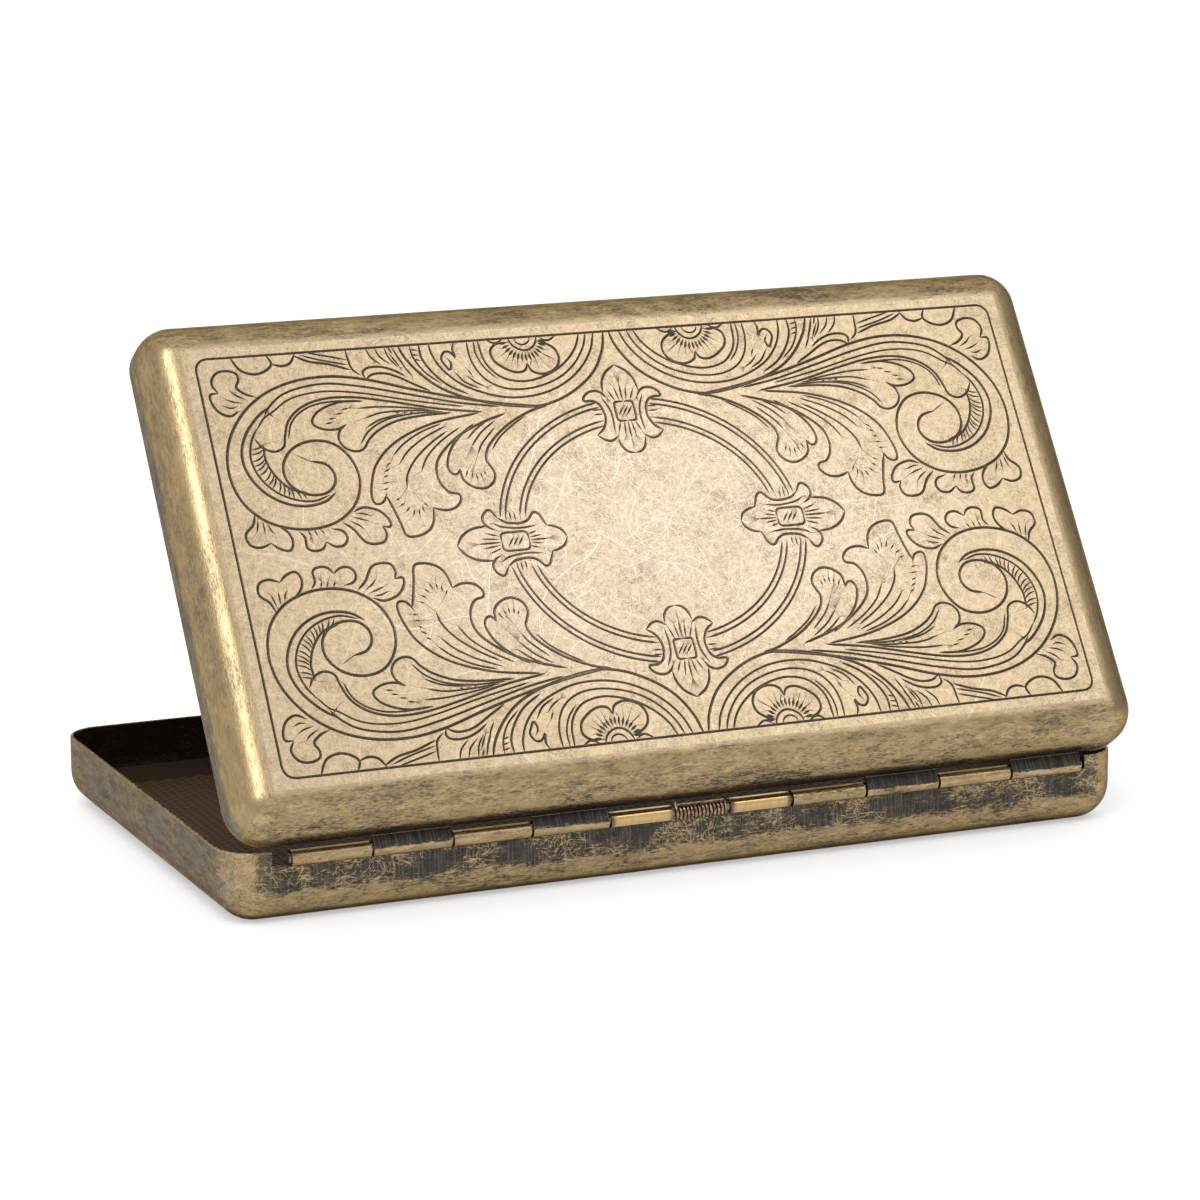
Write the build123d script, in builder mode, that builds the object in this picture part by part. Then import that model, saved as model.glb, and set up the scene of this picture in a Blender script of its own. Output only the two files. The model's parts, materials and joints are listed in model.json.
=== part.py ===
"""Slim hinged case for needles, pressed from thin sheet with a hinge along one long side.

Frame: +Z up, X along the case, the hinge on the +Y side and the catch on the -Y side.
The origin is the centre of the flat bottom. Sizes are in millimetres.
The lid and what is fixed to it are drawn shut, then swung up to OPEN_ANGLE.
"""
import os

from build123d import *

# ---- driving sizes -------------------------------------------------------------------
LENGTH = 105.0            # outside, along the hinge
WIDTH = 57.5              # outside, hinge side to catch side, without the hinge
BASE_HEIGHT = 8.0         # table to parting plane
LID_HEIGHT = 5.8          # parting plane to the top
SHEET = 0.4               # thickness of the pressed sheet
CORNER_RADIUS = 4.2       # corners seen from above
EDGE_RADIUS = 4.1         # rounded edge round the top and the bottom
RIM_ROUND = 0.12          # rounding along both edges of each rim
OPEN_ANGLE = 56.0         # how far the lid stands open at rest, in degrees

PIN_RADIUS = 0.5
CURL_SHEET = 0.32         # sheet left after the tabs are curled round the pin
RUNNING_CLEARANCE = 0.04  # radial, between the pin and what turns on it
BARREL_OFF_WALL = 0.29    # gap between the barrel and the back wall
HINGE_DROP = 0.5          # pin centre below the parting plane
HINGE_FROM_END = 6.25     # outer end of the last knuckle from the end of the case
TUBE_PITCH = 7.4
SPRING_PITCH = 6.5
HINGE_GAP = 0.3           # end play between neighbours on the pin
KNUCKLES_PER_SIDE = 4     # on each side of the middle, lid and base in turn
RELIEF_CLEARANCE = 0.06   # from the spring's legs to the cut edges of the back walls
RELIEF_END = 1.4          # how far that cut runs past the last knuckle
CURL_END_SLOPE = 0.18     # where a curl stops short of its own wall, rise over run
PIN_PROUD = 0.1           # pin past the outer knuckles, each end
TUBE_END_ROUND = 0.1

SPRING_WIRE = 0.34
SPRING_CLEARANCE = 0.05   # radial, between the coil and the pin
SPRING_LEG = 2.4          # length of each leg along its wall
LEG_CLEARANCE = 0.2       # from a leg to its wall

MAGNET_THICKNESS = 0.6
LINER_THICKNESS = 0.4
LINER_RISE = 1.6          # how far the liner climbs the rounded edge
LINING_CLEARANCE = 0.1    # all round the magnet sheet and the liner

BUTTON_LENGTH = 6.6
BUTTON_HEIGHT = 2.0
BUTTON_PROUD = 0.9
BUTTON_CLEARANCE = 0.2    # all round, in its window
BUTTON_BELOW_RIM = 2.3    # middle of the button below the parting plane
CATCH_TRAVEL = 0.7        # how far the button pushes in
SPRING_STRIP_REACH = 33.0     # fixed end of the catch spring from the button's middle
SPRING_STRIP_PAST = 5.0       # free end of the catch spring past the button's middle
SPRING_STRIP_HEIGHT = 2.0
SPRING_STRIP_THICKNESS = 0.3
SPRING_STRIP_OFF_WALL = 0.25
RIVET_PITCH = 4.0
RIVET_RADIUS = 0.5
RIVET_HEAD_RADIUS = 0.95
RIVET_HEAD = 0.3
RIVET_SPACER_RADIUS = 0.7
RIVET_FROM_END = 2.0
HOOK_LENGTH = 8.0
HOOK_THICKNESS = 0.4
HOOK_ABOVE_RIM = 1.5
HOOK_BELOW_BUTTON = 1.3   # lower end of the hook plate below the button's middle
NOSE_HEIGHT = 0.6
NOSE_REACH = 0.4          # how far the nose stands out from the hook plate
KEEPER_LENGTH = 12.0
KEEPER_HEIGHT = 0.4
KEEPER_ABOVE_RIM = 0.35
KEEPER_CLEARANCE = 0.15   # keeper to hook plate when shut

# ---- worked out from the driving sizes ----------------------------------------------
BACK = WIDTH / 2          # outside of the back wall
FRONT = -WIDTH / 2        # outside of the front wall
INNER_EDGE = EDGE_RADIUS - SHEET
INNER_CORNER = CORNER_RADIUS - SHEET
CURL_BORE = PIN_RADIUS + RUNNING_CLEARANCE
CURL_RADIUS = CURL_BORE + CURL_SHEET
COIL_BORE = PIN_RADIUS + SPRING_CLEARANCE
COIL_RADIUS = COIL_BORE + SPRING_WIRE
HINGE_OUT = CURL_RADIUS + BARREL_OFF_WALL  # pin centre outside the back wall
PIN_Y = BACK + HINGE_OUT
PIN_Z = BASE_HEIGHT - HINGE_DROP
HINGE_AXIS = Axis((0, PIN_Y, PIN_Z), (-1, 0, 0))
RELIEF = COIL_RADIUS + RELIEF_CLEARANCE  # cut of each back wall from the pin's level
TAB_ROOT = RELIEF - CURL_BORE + SHEET  # upright part of a tab, lapped onto its wall
HINGE_LENGTH = LENGTH - 2 * HINGE_FROM_END
FIRST_KNUCKLE = SPRING_PITCH / 2 + TUBE_PITCH
KNUCKLE_PITCH = (HINGE_LENGTH / 2 - FIRST_KNUCKLE) / KNUCKLES_PER_SIDE
KNUCKLE_LENGTH = KNUCKLE_PITCH - HINGE_GAP
TUBE_LENGTH = TUBE_PITCH - HINGE_GAP
SPRING_LENGTH = SPRING_PITCH - HINGE_GAP


def knuckle_centres(lid_first):
    """X of every second knuckle, counted outward from the tubes on both sides."""
    centres = []
    for number in range(KNUCKLES_PER_SIDE):
        x = FIRST_KNUCKLE + (number + 0.5) * KNUCKLE_PITCH
        centres.append(x if (number % 2 == 0) == lid_first else -x)
    return centres


LID_KNUCKLES = knuckle_centres(lid_first=True)
BASE_KNUCKLES = knuckle_centres(lid_first=False)


def tab_section(x, up):
    """Section at x of a hinge tab: out of its wall, then round the pin.

    up is +1 for the lid, whose tabs pass over the pin, and -1 for the base.
    """
    reach = 2 * CURL_RADIUS
    run = HINGE_OUT + SHEET
    with BuildSketch(Plane.YZ.offset(x)) as section:
        with Locations((PIN_Y, PIN_Z)):
            Circle(CURL_RADIUS)
            Circle(CURL_BORE, mode=Mode.SUBTRACT)
        with BuildLine():
            Polyline(
                (PIN_Y, PIN_Z),
                (PIN_Y, PIN_Z + up * reach),
                (PIN_Y - reach, PIN_Z + up * reach),
                (PIN_Y - reach, PIN_Z - up * reach * CURL_END_SLOPE),
                close=True,
            )
        make_face(mode=Mode.SUBTRACT)
        with Locations((PIN_Y - run / 2, PIN_Z + up * (CURL_BORE + CURL_SHEET / 2))):
            Rectangle(run, CURL_SHEET)
        with Locations((BACK - SHEET / 2, PIN_Z + up * (CURL_BORE + TAB_ROOT / 2))):
            Rectangle(SHEET, TAB_ROOT)
    return section.sketch


def relief_section():
    """What is cut from each back wall along the hinge, to make room for the knuckles."""
    with BuildSketch(Plane.XZ.offset(-BACK)) as section:
        with Locations((0, PIN_Z)):
            Rectangle(HINGE_LENGTH + 2 * RELIEF_END, 2 * RELIEF)
    return section.sketch


def ring_on_pin(outer, bore, x):
    """Ring section round the pin's axis at x."""
    with BuildSketch(Plane.YZ.offset(x)) as section:
        with Locations((PIN_Y, PIN_Z)):
            Circle(outer)
            Circle(bore, mode=Mode.SUBTRACT)
    return section.sketch


# ---- base: pressed tray with curled hinge tabs and a window for the button -----------
BUTTON_Z = BASE_HEIGHT - BUTTON_BELOW_RIM
FIXED_END = -SPRING_STRIP_REACH
FIRST_RIVET = FIXED_END + RIVET_FROM_END
RIVETS = [(FIRST_RIVET, BUTTON_Z), (FIRST_RIVET + RIVET_PITCH, BUTTON_Z)]

with BuildPart() as base_shell:
    with BuildSketch(Plane.XY):
        RectangleRounded(LENGTH, WIDTH, CORNER_RADIUS)
    extrude(amount=BASE_HEIGHT)
    fillet(base_shell.faces().sort_by(Axis.Z)[0].edges(), EDGE_RADIUS)
    offset(amount=-SHEET, openings=base_shell.faces().sort_by(Axis.Z)[-1])
    fillet(base_shell.faces().sort_by(Axis.Z)[-1].edges(), RIM_ROUND)
    extrude(relief_section(), amount=2 * SHEET, mode=Mode.SUBTRACT)
    for x in BASE_KNUCKLES:
        extrude(tab_section(x - KNUCKLE_LENGTH / 2, up=-1), amount=KNUCKLE_LENGTH)
    with BuildSketch(Plane.XZ.offset(-FRONT)):
        with Locations((0, BUTTON_Z)):
            SlotOverall(BUTTON_LENGTH + 2 * BUTTON_CLEARANCE, BUTTON_HEIGHT + 2 * BUTTON_CLEARANCE)
        with Locations(*RIVETS):
            Circle(RIVET_RADIUS)
    extrude(amount=-2 * SHEET, mode=Mode.SUBTRACT)
base_shell.part.label = "base_shell"

# ---- lid: the same pressing turned over, with its own hinge tabs ---------------------
with BuildPart() as lid_shell:
    with BuildSketch(Plane.XY.offset(BASE_HEIGHT)):
        RectangleRounded(LENGTH, WIDTH, CORNER_RADIUS)
    extrude(amount=LID_HEIGHT)
    fillet(lid_shell.faces().sort_by(Axis.Z)[-1].edges(), EDGE_RADIUS)
    offset(amount=-SHEET, openings=lid_shell.faces().sort_by(Axis.Z)[0])
    fillet(lid_shell.faces().sort_by(Axis.Z)[0].edges(), RIM_ROUND)
    extrude(relief_section(), amount=2 * SHEET, mode=Mode.SUBTRACT)
    for x in LID_KNUCKLES:
        extrude(tab_section(x - KNUCKLE_LENGTH / 2, up=1), amount=KNUCKLE_LENGTH)
lid_shell.part = lid_shell.part.rotate(HINGE_AXIS, OPEN_ANGLE)
lid_shell.part.label = "lid_shell"

# ---- hinge pin, and the two tubes that keep the spring in the middle ------------------
with BuildPart() as hinge_pin:
    with BuildSketch(Plane.YZ.offset(-HINGE_LENGTH / 2 - PIN_PROUD)):
        with Locations((PIN_Y, PIN_Z)):
            Circle(PIN_RADIUS)
    extrude(amount=HINGE_LENGTH + 2 * PIN_PROUD)
hinge_pin.part.label = "hinge_pin"

TUBE_CENTRE = SPRING_PITCH / 2 + TUBE_PITCH / 2


def outer_ends(tube):
    """The circles at both ends of a tube's outside."""
    return tube.edges().filter_by(GeomType.CIRCLE).group_by(SortBy.RADIUS)[-1]


with BuildPart() as spacer_tube_1:
    tube_start = TUBE_CENTRE - TUBE_LENGTH / 2
    extrude(ring_on_pin(CURL_RADIUS, CURL_BORE, tube_start), amount=TUBE_LENGTH)
    fillet(outer_ends(spacer_tube_1), TUBE_END_ROUND)
spacer_tube_1.part.label = "spacer_tube_1"

with BuildPart() as spacer_tube_2:
    tube_start = -TUBE_CENTRE - TUBE_LENGTH / 2
    extrude(ring_on_pin(CURL_RADIUS, CURL_BORE, tube_start), amount=TUBE_LENGTH)
    fillet(outer_ends(spacer_tube_2), TUBE_END_ROUND)
spacer_tube_2.part.label = "spacer_tube_2"

# ---- torsion spring: coil round the pin, one leg in the base and one in the lid -------
LEG_Y = BACK - SHEET - LEG_CLEARANCE
LEG_X = SPRING_LENGTH / 2 - SPRING_WIRE / 2


def spring_leg(up):
    """Wire from the coil in over the wall's cut edge, then along the wall. up is +1 or -1."""
    run = PIN_Y - LEG_Y + SPRING_WIRE
    level = PIN_Z + up * (COIL_RADIUS - SPRING_WIRE / 2)
    with BuildPart() as leg:
        with BuildSketch(Plane.XY.offset(level - SPRING_WIRE / 2)):
            with Locations((up * LEG_X, PIN_Y - run / 2)):
                Rectangle(SPRING_WIRE, run)
        extrude(amount=SPRING_WIRE)
        with BuildSketch(Plane.XY.offset(level)):
            with Locations((up * LEG_X, LEG_Y - SPRING_WIRE / 2)):
                Rectangle(SPRING_WIRE, SPRING_WIRE)
        extrude(amount=up * SPRING_LEG)
    return leg.part


base_leg = spring_leg(up=-1)
lid_leg = spring_leg(up=1).rotate(HINGE_AXIS, OPEN_ANGLE)
with BuildPart() as torsion_spring:
    extrude(ring_on_pin(COIL_RADIUS, COIL_BORE, -SPRING_LENGTH / 2), amount=SPRING_LENGTH)
    add(base_leg)
    add(lid_leg)
    with BuildSketch(Plane.YZ.offset(-SPRING_LENGTH / 2)):
        with Locations((PIN_Y, PIN_Z)):
            Circle(COIL_BORE)
    extrude(amount=SPRING_LENGTH, mode=Mode.SUBTRACT)
torsion_spring.part.label = "torsion_spring"

# ---- lining of the base: a thin magnet sheet under an embossed liner ------------------
FLOOR_LENGTH = LENGTH - 2 * EDGE_RADIUS
FLOOR_WIDTH = WIDTH - 2 * EDGE_RADIUS
with BuildPart() as magnet_sheet:
    with BuildSketch(Plane.XY.offset(SHEET)):
        Rectangle(FLOOR_LENGTH - 2 * LINING_CLEARANCE, FLOOR_WIDTH - 2 * LINING_CLEARANCE)
    extrude(amount=MAGNET_THICKNESS)
magnet_sheet.part.label = "magnet_sheet"


LINER_BOTTOM = SHEET + MAGNET_THICKNESS
LINER_TOP = LINER_BOTTOM + LINER_THICKNESS + LINER_RISE


def tray_block(inset, bottom):
    """Solid that fills the base from bottom to LINER_TOP, held off its inside by inset."""
    length = LENGTH - 2 * (SHEET + inset)
    width = WIDTH - 2 * (SHEET + inset)
    with BuildPart() as block:
        with BuildSketch(Plane.XY.offset(SHEET + inset)):
            RectangleRounded(length, width, INNER_CORNER - inset)
        extrude(amount=BASE_HEIGHT)
        fillet(block.faces().sort_by(Axis.Z)[0].edges(), INNER_EDGE - inset)
        split(bisect_by=Plane.XY.offset(LINER_TOP), keep=Keep.BOTTOM)
        split(bisect_by=Plane.XY.offset(bottom), keep=Keep.TOP)
    return block.part


liner_outside = tray_block(LINING_CLEARANCE, LINER_BOTTOM)
liner_hollow = tray_block(LINING_CLEARANCE + LINER_THICKNESS, LINER_BOTTOM + LINER_THICKNESS)
with BuildPart() as floor_liner:
    add(liner_outside)
    add(liner_hollow, mode=Mode.SUBTRACT)
floor_liner.part.label = "floor_liner"

# ---- catch: push button and hook on a long flat spring behind the front wall ----------
WALL_INSIDE = FRONT + SHEET
STRIP_Y = WALL_INSIDE + SPRING_STRIP_OFF_WALL          # front face of the spring
HOOK_Y = STRIP_Y + SPRING_STRIP_THICKNESS              # front face of the hook plate
STRIP_LENGTH = SPRING_STRIP_REACH + SPRING_STRIP_PAST
STRIP_MIDDLE = FIXED_END + STRIP_LENGTH / 2
with BuildPart() as catch_spring:
    with BuildSketch(Plane.XZ.offset(-HOOK_Y)):
        with Locations((STRIP_MIDDLE, BUTTON_Z)):
            Rectangle(STRIP_LENGTH, SPRING_STRIP_HEIGHT)
        with Locations(*RIVETS):
            Circle(RIVET_RADIUS, mode=Mode.SUBTRACT)
    extrude(amount=SPRING_STRIP_THICKNESS)
    fillet(catch_spring.edges().filter_by(Axis.Y).group_by(Axis.X)[0], SPRING_STRIP_HEIGHT / 4)
    fillet(catch_spring.edges().filter_by(Axis.Y).group_by(Axis.X)[-1], SPRING_STRIP_HEIGHT / 4)
catch_spring.part.label = "catch_spring"

with BuildPart() as catch_button:
    with BuildSketch(Plane.XZ.offset(-STRIP_Y)):
        with Locations((0, BUTTON_Z)):
            SlotOverall(BUTTON_LENGTH, BUTTON_HEIGHT)
    extrude(amount=STRIP_Y - FRONT + BUTTON_PROUD)
    fillet(catch_button.faces().sort_by(Axis.Y)[0].edges(), BUTTON_PROUD / 2)
catch_button.part.label = "catch_button"

HOOK_FOOT = BUTTON_Z - HOOK_BELOW_BUTTON
HOOK_TOP = BASE_HEIGHT + HOOK_ABOVE_RIM
with BuildPart() as catch_hook:
    with BuildSketch(Plane.YZ.offset(-HOOK_LENGTH / 2)):
        with BuildLine():
            Polyline(
                (HOOK_Y, HOOK_FOOT),
                (HOOK_Y + HOOK_THICKNESS, HOOK_FOOT),
                (HOOK_Y + HOOK_THICKNESS, HOOK_TOP),
                (HOOK_Y, HOOK_TOP),
                (HOOK_Y - NOSE_REACH, HOOK_TOP - NOSE_HEIGHT),
                (HOOK_Y, HOOK_TOP - NOSE_HEIGHT),
                close=True,
            )
        make_face()
    extrude(amount=HOOK_LENGTH)
catch_hook.part.label = "catch_hook"

RIVET_COLLARS = [
    (HOOK_Y, RIVET_HEAD_RADIUS, -RIVET_HEAD),  # head on the spring
    (WALL_INSIDE, RIVET_SPACER_RADIUS, -SPRING_STRIP_OFF_WALL),  # between wall and spring
    (FRONT, RIVET_HEAD_RADIUS, RIVET_HEAD),  # head outside the wall
]
with BuildPart() as catch_rivets:
    with BuildSketch(Plane.XZ.offset(-HOOK_Y)):
        with Locations(*RIVETS):
            Circle(RIVET_RADIUS)
    extrude(amount=HOOK_Y - FRONT)
    for face_y, radius, depth in RIVET_COLLARS:
        with BuildSketch(Plane.XZ.offset(-face_y)):
            with Locations(*RIVETS):
                Circle(radius)
        extrude(amount=depth)
catch_rivets.part.label = "catch_rivets"

# ---- keeper: bar inside the lid's front wall that the hook's nose holds down ----------
KEEPER_DEPTH = HOOK_Y - KEEPER_CLEARANCE - WALL_INSIDE
KEEPER_FOOT = BASE_HEIGHT + KEEPER_ABOVE_RIM
with BuildPart() as lid_keeper:
    with BuildSketch(Plane.YZ.offset(-KEEPER_LENGTH / 2)):
        with BuildLine():
            Polyline(
                (WALL_INSIDE, KEEPER_FOOT - KEEPER_HEIGHT / 2),
                (WALL_INSIDE + KEEPER_DEPTH, KEEPER_FOOT + KEEPER_HEIGHT / 2),
                (WALL_INSIDE + KEEPER_DEPTH, KEEPER_FOOT + KEEPER_HEIGHT),
                (WALL_INSIDE, KEEPER_FOOT + KEEPER_HEIGHT),
                close=True,
            )
        make_face()
    extrude(amount=KEEPER_LENGTH)
lid_keeper.part = lid_keeper.part.rotate(HINGE_AXIS, OPEN_ANGLE)
lid_keeper.part.label = "lid_keeper"

# ---- write every piece ----------------------------------------------------------------
PIECES = [
    base_shell,
    lid_shell,
    hinge_pin,
    spacer_tube_1,
    spacer_tube_2,
    torsion_spring,
    magnet_sheet,
    floor_liner,
    catch_spring,
    catch_button,
    catch_hook,
    catch_rivets,
    lid_keeper,
]
os.makedirs("parts", exist_ok=True)
for piece in PIECES:
    export_step(piece.part, f"parts/{piece.part.label}.step")

print(f"hinge {HINGE_LENGTH:.1f} long, pin centre {PIN_Y:.2f} out and {PIN_Z:.2f} up")
print(f"radial clearance on the pin {RUNNING_CLEARANCE:.2f}, button all round {BUTTON_CLEARANCE:.2f}")
print(f"nose over keeper by {NOSE_REACH - KEEPER_CLEARANCE:.2f}, button travel {CATCH_TRAVEL:.2f}")
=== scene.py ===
import json
import math

import bmesh
import bpy
import numpy as np
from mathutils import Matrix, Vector, kdtree
from mathutils.geometry import delaunay_2d_cdt


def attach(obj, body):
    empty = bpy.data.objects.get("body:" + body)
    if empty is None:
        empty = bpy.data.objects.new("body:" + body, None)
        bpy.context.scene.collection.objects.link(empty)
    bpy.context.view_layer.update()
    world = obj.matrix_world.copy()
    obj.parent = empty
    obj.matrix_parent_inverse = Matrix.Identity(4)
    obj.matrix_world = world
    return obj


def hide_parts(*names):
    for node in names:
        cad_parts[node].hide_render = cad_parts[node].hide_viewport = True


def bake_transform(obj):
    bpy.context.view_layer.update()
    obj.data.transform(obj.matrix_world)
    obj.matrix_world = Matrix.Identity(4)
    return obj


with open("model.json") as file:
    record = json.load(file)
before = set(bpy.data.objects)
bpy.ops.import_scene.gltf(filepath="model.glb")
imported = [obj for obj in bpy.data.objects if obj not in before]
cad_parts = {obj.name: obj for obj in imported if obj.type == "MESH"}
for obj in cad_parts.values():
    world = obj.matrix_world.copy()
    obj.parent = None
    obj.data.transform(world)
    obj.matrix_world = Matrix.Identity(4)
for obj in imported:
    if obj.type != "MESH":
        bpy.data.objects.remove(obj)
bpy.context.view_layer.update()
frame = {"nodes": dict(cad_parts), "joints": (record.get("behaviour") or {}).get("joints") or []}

MM = 0.001

# ---- base ----------------------------------------------------------------------------
# A tray pressed from thin brass sheet, with curled tabs along its back edge for the hinge
# pin. The brass is chemically blackened and then rubbed back, so it is bright where hands
# and the buffing wheel reach it and dark on the walls and in the corners.
HINGE = next(joint for joint in frame["joints"] if joint["name"] == "lid_hinge")
PIN_Y, PIN_Z = HINGE["pos_m"][1] / MM, HINGE["pos_m"][2] / MM
OPENED = math.radians(-HINGE["range_deg"][0])
LENGTH, WIDTH = 105.0, 57.5
BASE_HEIGHT, LID_TOP = 8.0, 13.8


def put(tree, kind, feeds=(), **settings):
    """Places one shader node; feeds are pairs of an input and its value or source."""
    made = tree.nodes.new("ShaderNode" + kind)
    for name, value in settings.items():
        setattr(made, name, value)
    for socket, value in feeds:
        if isinstance(value, bpy.types.NodeSocket):
            tree.links.new(value, made.inputs[socket])
        else:
            made.inputs[socket].default_value = value
    return made


def reckon(tree, operation, *terms, clamp=False):
    """One Math node's result."""
    feeds = list(enumerate(terms))
    return put(tree, "Math", feeds, operation=operation, use_clamp=clamp).outputs[0]


def times(tree, one, other):
    """one times other."""
    return reckon(tree, "MULTIPLY", one, other)


def plus(tree, one, other):
    """one plus other."""
    return reckon(tree, "ADD", one, other)


def less(tree, whole, part):
    """whole less part."""
    return reckon(tree, "SUBTRACT", whole, part)


def scaled(tree, vector, factor):
    """A vector or colour times a number."""
    feeds = [(0, vector), ("Scale", factor)]
    return put(tree, "VectorMath", feeds, operation="SCALE").outputs[0]


def surface_mm(tree):
    """The point of the surface in mm, in the rest pose."""
    return scaled(tree, put(tree, "TexCoord").outputs["Object"], 1 / MM)


def new_finish(name, metal):
    """A fresh material with its node tree and its shader; metal is 1 for bare metal."""
    material = bpy.data.materials.new(name)
    material.use_nodes = True
    skin = material.node_tree.nodes["Principled BSDF"]
    skin.inputs["Metallic"].default_value = metal
    return material, material.node_tree, skin


def coat(node, material):
    """Gives a CAD piece its one material."""
    frame["nodes"][node].data.materials.clear()
    frame["nodes"][node].data.materials.append(material)


def ramp(tree, value, low, high, start=0.0, end=1.0, smooth=True):
    """value taken from low..high to start..end, held at both ends."""
    kind = "SMOOTHSTEP" if smooth else "LINEAR"
    feeds = [(0, value), (1, low), (2, high), (3, start), (4, end)]
    return put(tree, "MapRange", feeds, interpolation_type=kind, clamp=True).outputs[0]


def tint(tree, share, first, second):
    """Colour that goes from first to second as share goes from 0 to 1."""
    feeds = [(0, share), (6, first), (7, second)]
    return put(tree, "Mix", feeds, data_type="RGBA").outputs[2]


def grain(tree, place, scale, detail=3.0, rough=0.55, stretch=None):
    """Noise of that many features per millimetre; stretch scales the three directions."""
    if stretch is not None:
        feeds = [(0, place), (1, stretch)]
        place = put(tree, "VectorMath", feeds, operation="MULTIPLY").outputs[0]
    feeds = [("Vector", place), ("Scale", scale), ("Detail", detail), ("Roughness", rough)]
    return put(tree, "TexNoise", feeds).outputs[0]


def new_group(name, takes, gives):
    """An empty node group with named sockets: (name, kind, default) and (name, kind)."""
    tree = bpy.data.node_groups.new(name, "ShaderNodeTree")
    for label, kind, default in takes:
        socket = tree.interface.new_socket(label, in_out="INPUT", socket_type="NodeSocket" + kind)
        if default is not None:
            socket.default_value = default
    for label, kind in gives:
        tree.interface.new_socket(label, in_out="OUTPUT", socket_type="NodeSocket" + kind)
    return tree, tree.nodes.new("NodeGroupInput").outputs, tree.nodes.new("NodeGroupOutput")


def use(tree, group, **feeds):
    """Places a finished node group in a material and returns its outputs."""
    return put(tree, "Group", feeds.items(), node_tree=group).outputs


# where a point lies with the case shut, in mm, and which way its surface faces there
shut_place, taken, given = new_group(
    "shut place",
    [("Object", "Vector", None), ("Facing", "Vector", None), ("Opened", "Float", 0.0)],
    [("Place", "Vector"), ("Facing", "Vector")],
)
in_mm = scaled(shut_place, taken["Object"], 1 / MM)
turned = put(
    shut_place,
    "VectorRotate",
    [("Vector", in_mm), ("Center", (0.0, PIN_Y, PIN_Z)), ("Angle", taken["Opened"])],
    rotation_type="X_AXIS",
)
faced = put(
    shut_place,
    "VectorRotate",
    [("Vector", taken["Facing"]), ("Center", (0.0, 0.0, 0.0)), ("Angle", taken["Opened"])],
    rotation_type="X_AXIS",
)
shut_place.links.new(turned.outputs[0], given.inputs["Place"])
shut_place.links.new(faced.outputs[0], given.inputs["Facing"])

# one lay of hair scratches: gently bent lines all running one way, each in broken runs;
# the two steps keep the chances of one lay and of one line unlike the next one's
LAY_STEP, LINE_STEP = 13.7, 37.7
hair_lay, taken, given = new_group(
    "hair scratches",
    [
        ("Place", "Vector", None),
        ("Axis", "Vector", (0.0, 0.0, 1.0)),
        ("Turn", "Float", 0.0),
        ("Pitch", "Float", 1.6),
        ("Width", "Float", 0.06),
        ("Run", "Float", 0.16),
        ("Broken", "Float", 0.55),
        ("Lines", "Float", 0.0),
    ],
    [("Place", "Vector"), ("Lines", "Float")],
)
laid = put(
    hair_lay,
    "VectorRotate",
    [("Vector", taken["Place"]), ("Axis", taken["Axis"]), ("Angle", taken["Turn"])],
    rotation_type="AXIS_ANGLE",
).outputs[0]
ways = put(hair_lay, "SeparateXYZ", [(0, laid)]).outputs
bend = put(hair_lay, "TexNoise", [("Vector", laid), ("Scale", taken["Run"]), ("Detail", 0.6)]).outputs[0]
across = plus(hair_lay, ways["Y"], ways["Z"])
across = plus(hair_lay, across, reckon(hair_lay, "DIVIDE", bend, taken["Run"]))
across = reckon(hair_lay, "DIVIDE", across, taken["Pitch"])
row = reckon(hair_lay, "FLOOR", across)
chance = put(
    hair_lay,
    "TexWhiteNoise",
    [("W", reckon(hair_lay, "MULTIPLY_ADD", taken["Turn"], LAY_STEP, row))],
    noise_dimensions="1D",
).outputs[0]
middle = reckon(hair_lay, "MULTIPLY_ADD", chance, 0.7, plus(hair_lay, row, 0.15))
off_line = times(hair_lay, reckon(hair_lay, "ABSOLUTE", less(hair_lay, across, middle)), taken["Pitch"])
line = reckon(hair_lay, "SUBTRACT", 1.0, reckon(hair_lay, "DIVIDE", off_line, taken["Width"]), clamp=True)
run_place = put(
    hair_lay, "CombineXYZ", [(0, ways["X"]), (1, times(hair_lay, row, LINE_STEP)), (2, taken["Turn"])]
).outputs[0]
runs = put(
    hair_lay, "TexNoise", [("Vector", run_place), ("Scale", taken["Run"]), ("Detail", 1.0)]
).outputs[0]
present = ramp(hair_lay, runs, taken["Broken"], plus(hair_lay, taken["Broken"], 0.05))
line = times(hair_lay, line, present)
line = times(hair_lay, line, reckon(hair_lay, "MULTIPLY_ADD", chance, 0.6, 0.4))
line = reckon(hair_lay, "MAXIMUM", line, taken["Lines"])
hair_lay.links.new(line, given.inputs["Lines"])
# the place is handed on by way of the line, so that the lays are worked out one at a time
handed_on = put(
    hair_lay, "VectorMath", [(0, taken["Place"]), (1, times(hair_lay, line, 1e-5))], operation="ADD"
)
hair_lay.links.new(handed_on.outputs[0], given.inputs["Place"])


def tangle(tree, place, lays, **feeds):
    """Several lays of scratches crossing each other, evenly turned; gives place and lines."""
    lines = 0.0
    for lay in range(lays):
        laid = use(tree, hair_lay, Place=place, Lines=lines, Turn=0.4 + math.pi * lay / lays, **feeds)
        place, lines = laid["Place"], laid["Lines"]
    return place, lines


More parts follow.
